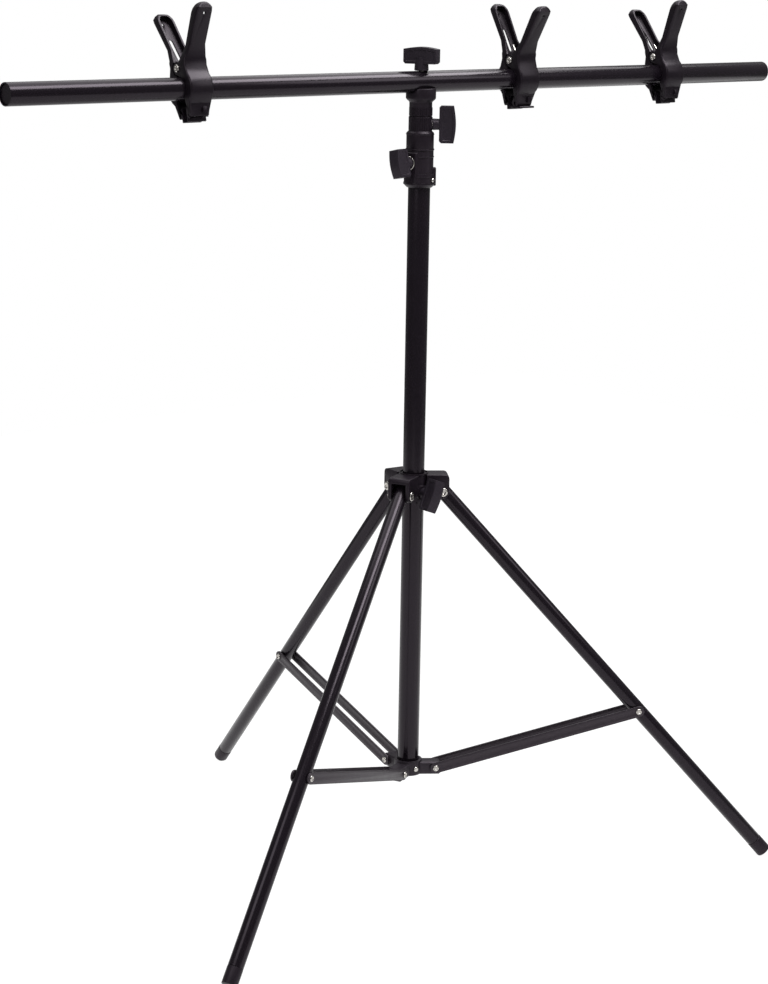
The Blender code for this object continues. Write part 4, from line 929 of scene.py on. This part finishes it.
def bent_wire(points):
    """Round wire through a row of points, as a mesh with closed ends."""
    curve = bpy.data.curves.new("wire", 'CURVE')
    curve.dimensions = '3D'
    curve.bevel_depth = WIRE
    curve.bevel_resolution = 3
    curve.use_fill_caps = True
    spline = curve.splines.new('POLY')
    spline.points.add(len(points) - 1)
    for point, place in zip(spline.points, points):
        point.co = (*place, 1)
    bpy.ops.object.select_all(action='DESELECT')
    wire = bpy.data.objects.new("wire", curve)
    bpy.context.scene.collection.objects.link(wire)
    wire.select_set(True)
    bpy.context.view_layer.objects.active = wire
    bpy.ops.object.convert(target='MESH')
    return bpy.context.object


sweep = 2 * math.pi * COIL_TURNS + 2 * lean
half_width = COIL_PITCH * sweep / (4 * math.pi)
first = lean - math.pi / 2
steps = COIL_STEPS * COIL_TURNS
coil_points = []
for step in range(steps + 1):
    angle = first - sweep * step / steps
    across = half_width - 2 * half_width * step / steps
    coil_points.append((COIL_RADIUS * math.cos(angle), COIL_RADIUS * math.sin(angle), across))
for number in (1, 2, 3):
    clamp = f"clamp_{number}"
    hinge = next(joint for joint in frame["joints"] if joint["name"] == f"{clamp}_front_squeeze")
    tilt = CLAMP_TILTS[number - 1]
    turn = (
        Matrix.Rotation(math.radians(tilt), 4, 'X') @ Matrix.Rotation(-math.pi / 2, 4, 'Z')
        @ Matrix.Rotation(math.pi / 2, 4, 'X')).to_quaternion()
    coil = bent_wire(coil_points)
    coil.matrix_world = Matrix.LocRotScale(Vector(hinge["pos_m"]), turn, None)
    finish_piece(coil, f"{clamp}_spring_coil", nickel_plate, clamp, [f"{clamp}_spring"])
    for side, start, sign in (("front", coil_points[0], 1), ("rear", coil_points[-1], -1)):
        end = (
            start[0] + sign * wire_leg * math.cos(lean), start[1] + wire_leg * math.sin(lean), start[2])
        leg_wire = bent_wire([start, end])
        leg_wire.matrix_world = Matrix.LocRotScale(Vector(hinge["pos_m"]), turn, None)
        finish_piece(
            leg_wire, f"{clamp}_spring_{side}_leg", nickel_plate, f"{clamp}_{side}")

# Floor, light and background
# A plain pale floor in a white surround. Reflections show the floor white and the studio beyond
# it dimmer, as black gloss needs. A soft strip and soft boxes light it from above and the sides.
def surround_share(finish):
    """1 for camera, glossy and transmission rays, 0 for the rays that light the object."""
    rays = add_node(finish, 'ShaderNodeLightPath')
    seen = add_node(
        finish, 'ShaderNodeMath', {}, {0: (rays, "Is Camera Ray"), 1: (rays, "Is Glossy Ray")},
        operation='MAXIMUM')
    return add_node(
        finish, 'ShaderNodeMath', {}, {0: (seen, "Value"), 1: (rays, "Is Transmission Ray")},
        operation='MAXIMUM')


FLOOR_SIZE = 4.4
FLOOR_GREY = "#e8e8e8"
FLOOR_GLOW = 1.08
GLOW_SHARE = 0.9
bpy.ops.object.select_all(action='DESELECT')
bpy.ops.mesh.primitive_plane_add(size=FLOOR_SIZE, location=(0, 0, 0))
floor = bpy.context.object
floor.name = "studio_floor"
pale_floor = new_finish("pale_studio_floor")
share = surround_share(pale_floor)
partly = add_node(
    pale_floor, 'ShaderNodeMath', {1: GLOW_SHARE}, {0: (share, "Value")}, operation='MULTIPLY')
matt = add_node(pale_floor, 'ShaderNodeBsdfDiffuse', {"Color": linear(FLOOR_GREY)})
glow = add_node(pale_floor, 'ShaderNodeEmission', {"Color": (1, 1, 1, 1), "Strength": FLOOR_GLOW})
mixed = add_node(
    pale_floor, 'ShaderNodeMixShader', {},
    {0: (partly, "Value"), 1: (matt, "BSDF"), 2: (glow, "Emission")})
add_node(pale_floor, 'ShaderNodeOutputMaterial', {}, {"Surface": (mixed, "Shader")})
floor.data.materials.append(pale_floor)

# The surround is white to the camera, dim in reflections, and lights the object a little.
STUDIO_DIM = 0.22
STUDIO_LIGHT = 0.4
world = bpy.data.worlds.new("white_surround")
bpy.context.scene.world = world
world.use_nodes = True
world.node_tree.nodes.clear()
share = surround_share(world)
lighting = add_node(world, 'ShaderNodeBackground', {"Color": (1, 1, 1, 1), "Strength": STUDIO_LIGHT})
rays = add_node(world, 'ShaderNodeLightPath')
brightness = add_node(
    world, 'ShaderNodeMapRange', {"To Min": 1.0, "To Max": STUDIO_DIM},
    {"Value": (rays, "Is Glossy Ray")})
white = add_node(
    world, 'ShaderNodeBackground', {"Color": (1, 1, 1, 1)}, {"Strength": (brightness, "Result")})
mixed = add_node(
    world, 'ShaderNodeMixShader', {},
    {0: (share, "Value"), 1: (lighting, "Background"), 2: (white, "Background")})
add_node(world, 'ShaderNodeOutputWorld', {}, {"Surface": (mixed, "Shader")})

# Each lamp's name, place, the point it faces, its turn in degrees, length, width and watts
for name, place, aim, turn, length, width, watts in (
        ("front_strip", (0.55, -0.80, 2.4), (0.55, -0.80, 0), 24, 2.6, 0.9, 78.0),
        ("overhead_softbox", (0.96, 0.84, 2.4), (0.96, 0.84, 0), 18, 3.4, 2.1, 46.0),
        ("left_softbox", (-2.4, -0.8, 2.2), (0, 0, 0.6), 0, 1.6, 1.2, 16.0),
        ("right_softbox", (1.8, -2.2, 2.3), (0, 0, 0.6), 0, 1.2, 1.2, 12.0)):
    bpy.ops.object.light_add(type='AREA', location=place)
    lamp = bpy.context.object
    lamp.name = name
    lamp.data.shape = 'RECTANGLE'
    lamp.data.size = length
    lamp.data.size_y = width
    lamp.data.energy = watts
    facing = (Vector(aim) - Vector(place)).to_track_quat('-Z', 'Y')
    turned = Matrix.Rotation(math.radians(turn), 3, 'Z').to_quaternion()
    lamp.rotation_euler = (facing @ turned).to_euler()

bpy.context.scene.view_settings.view_transform = 'Standard'
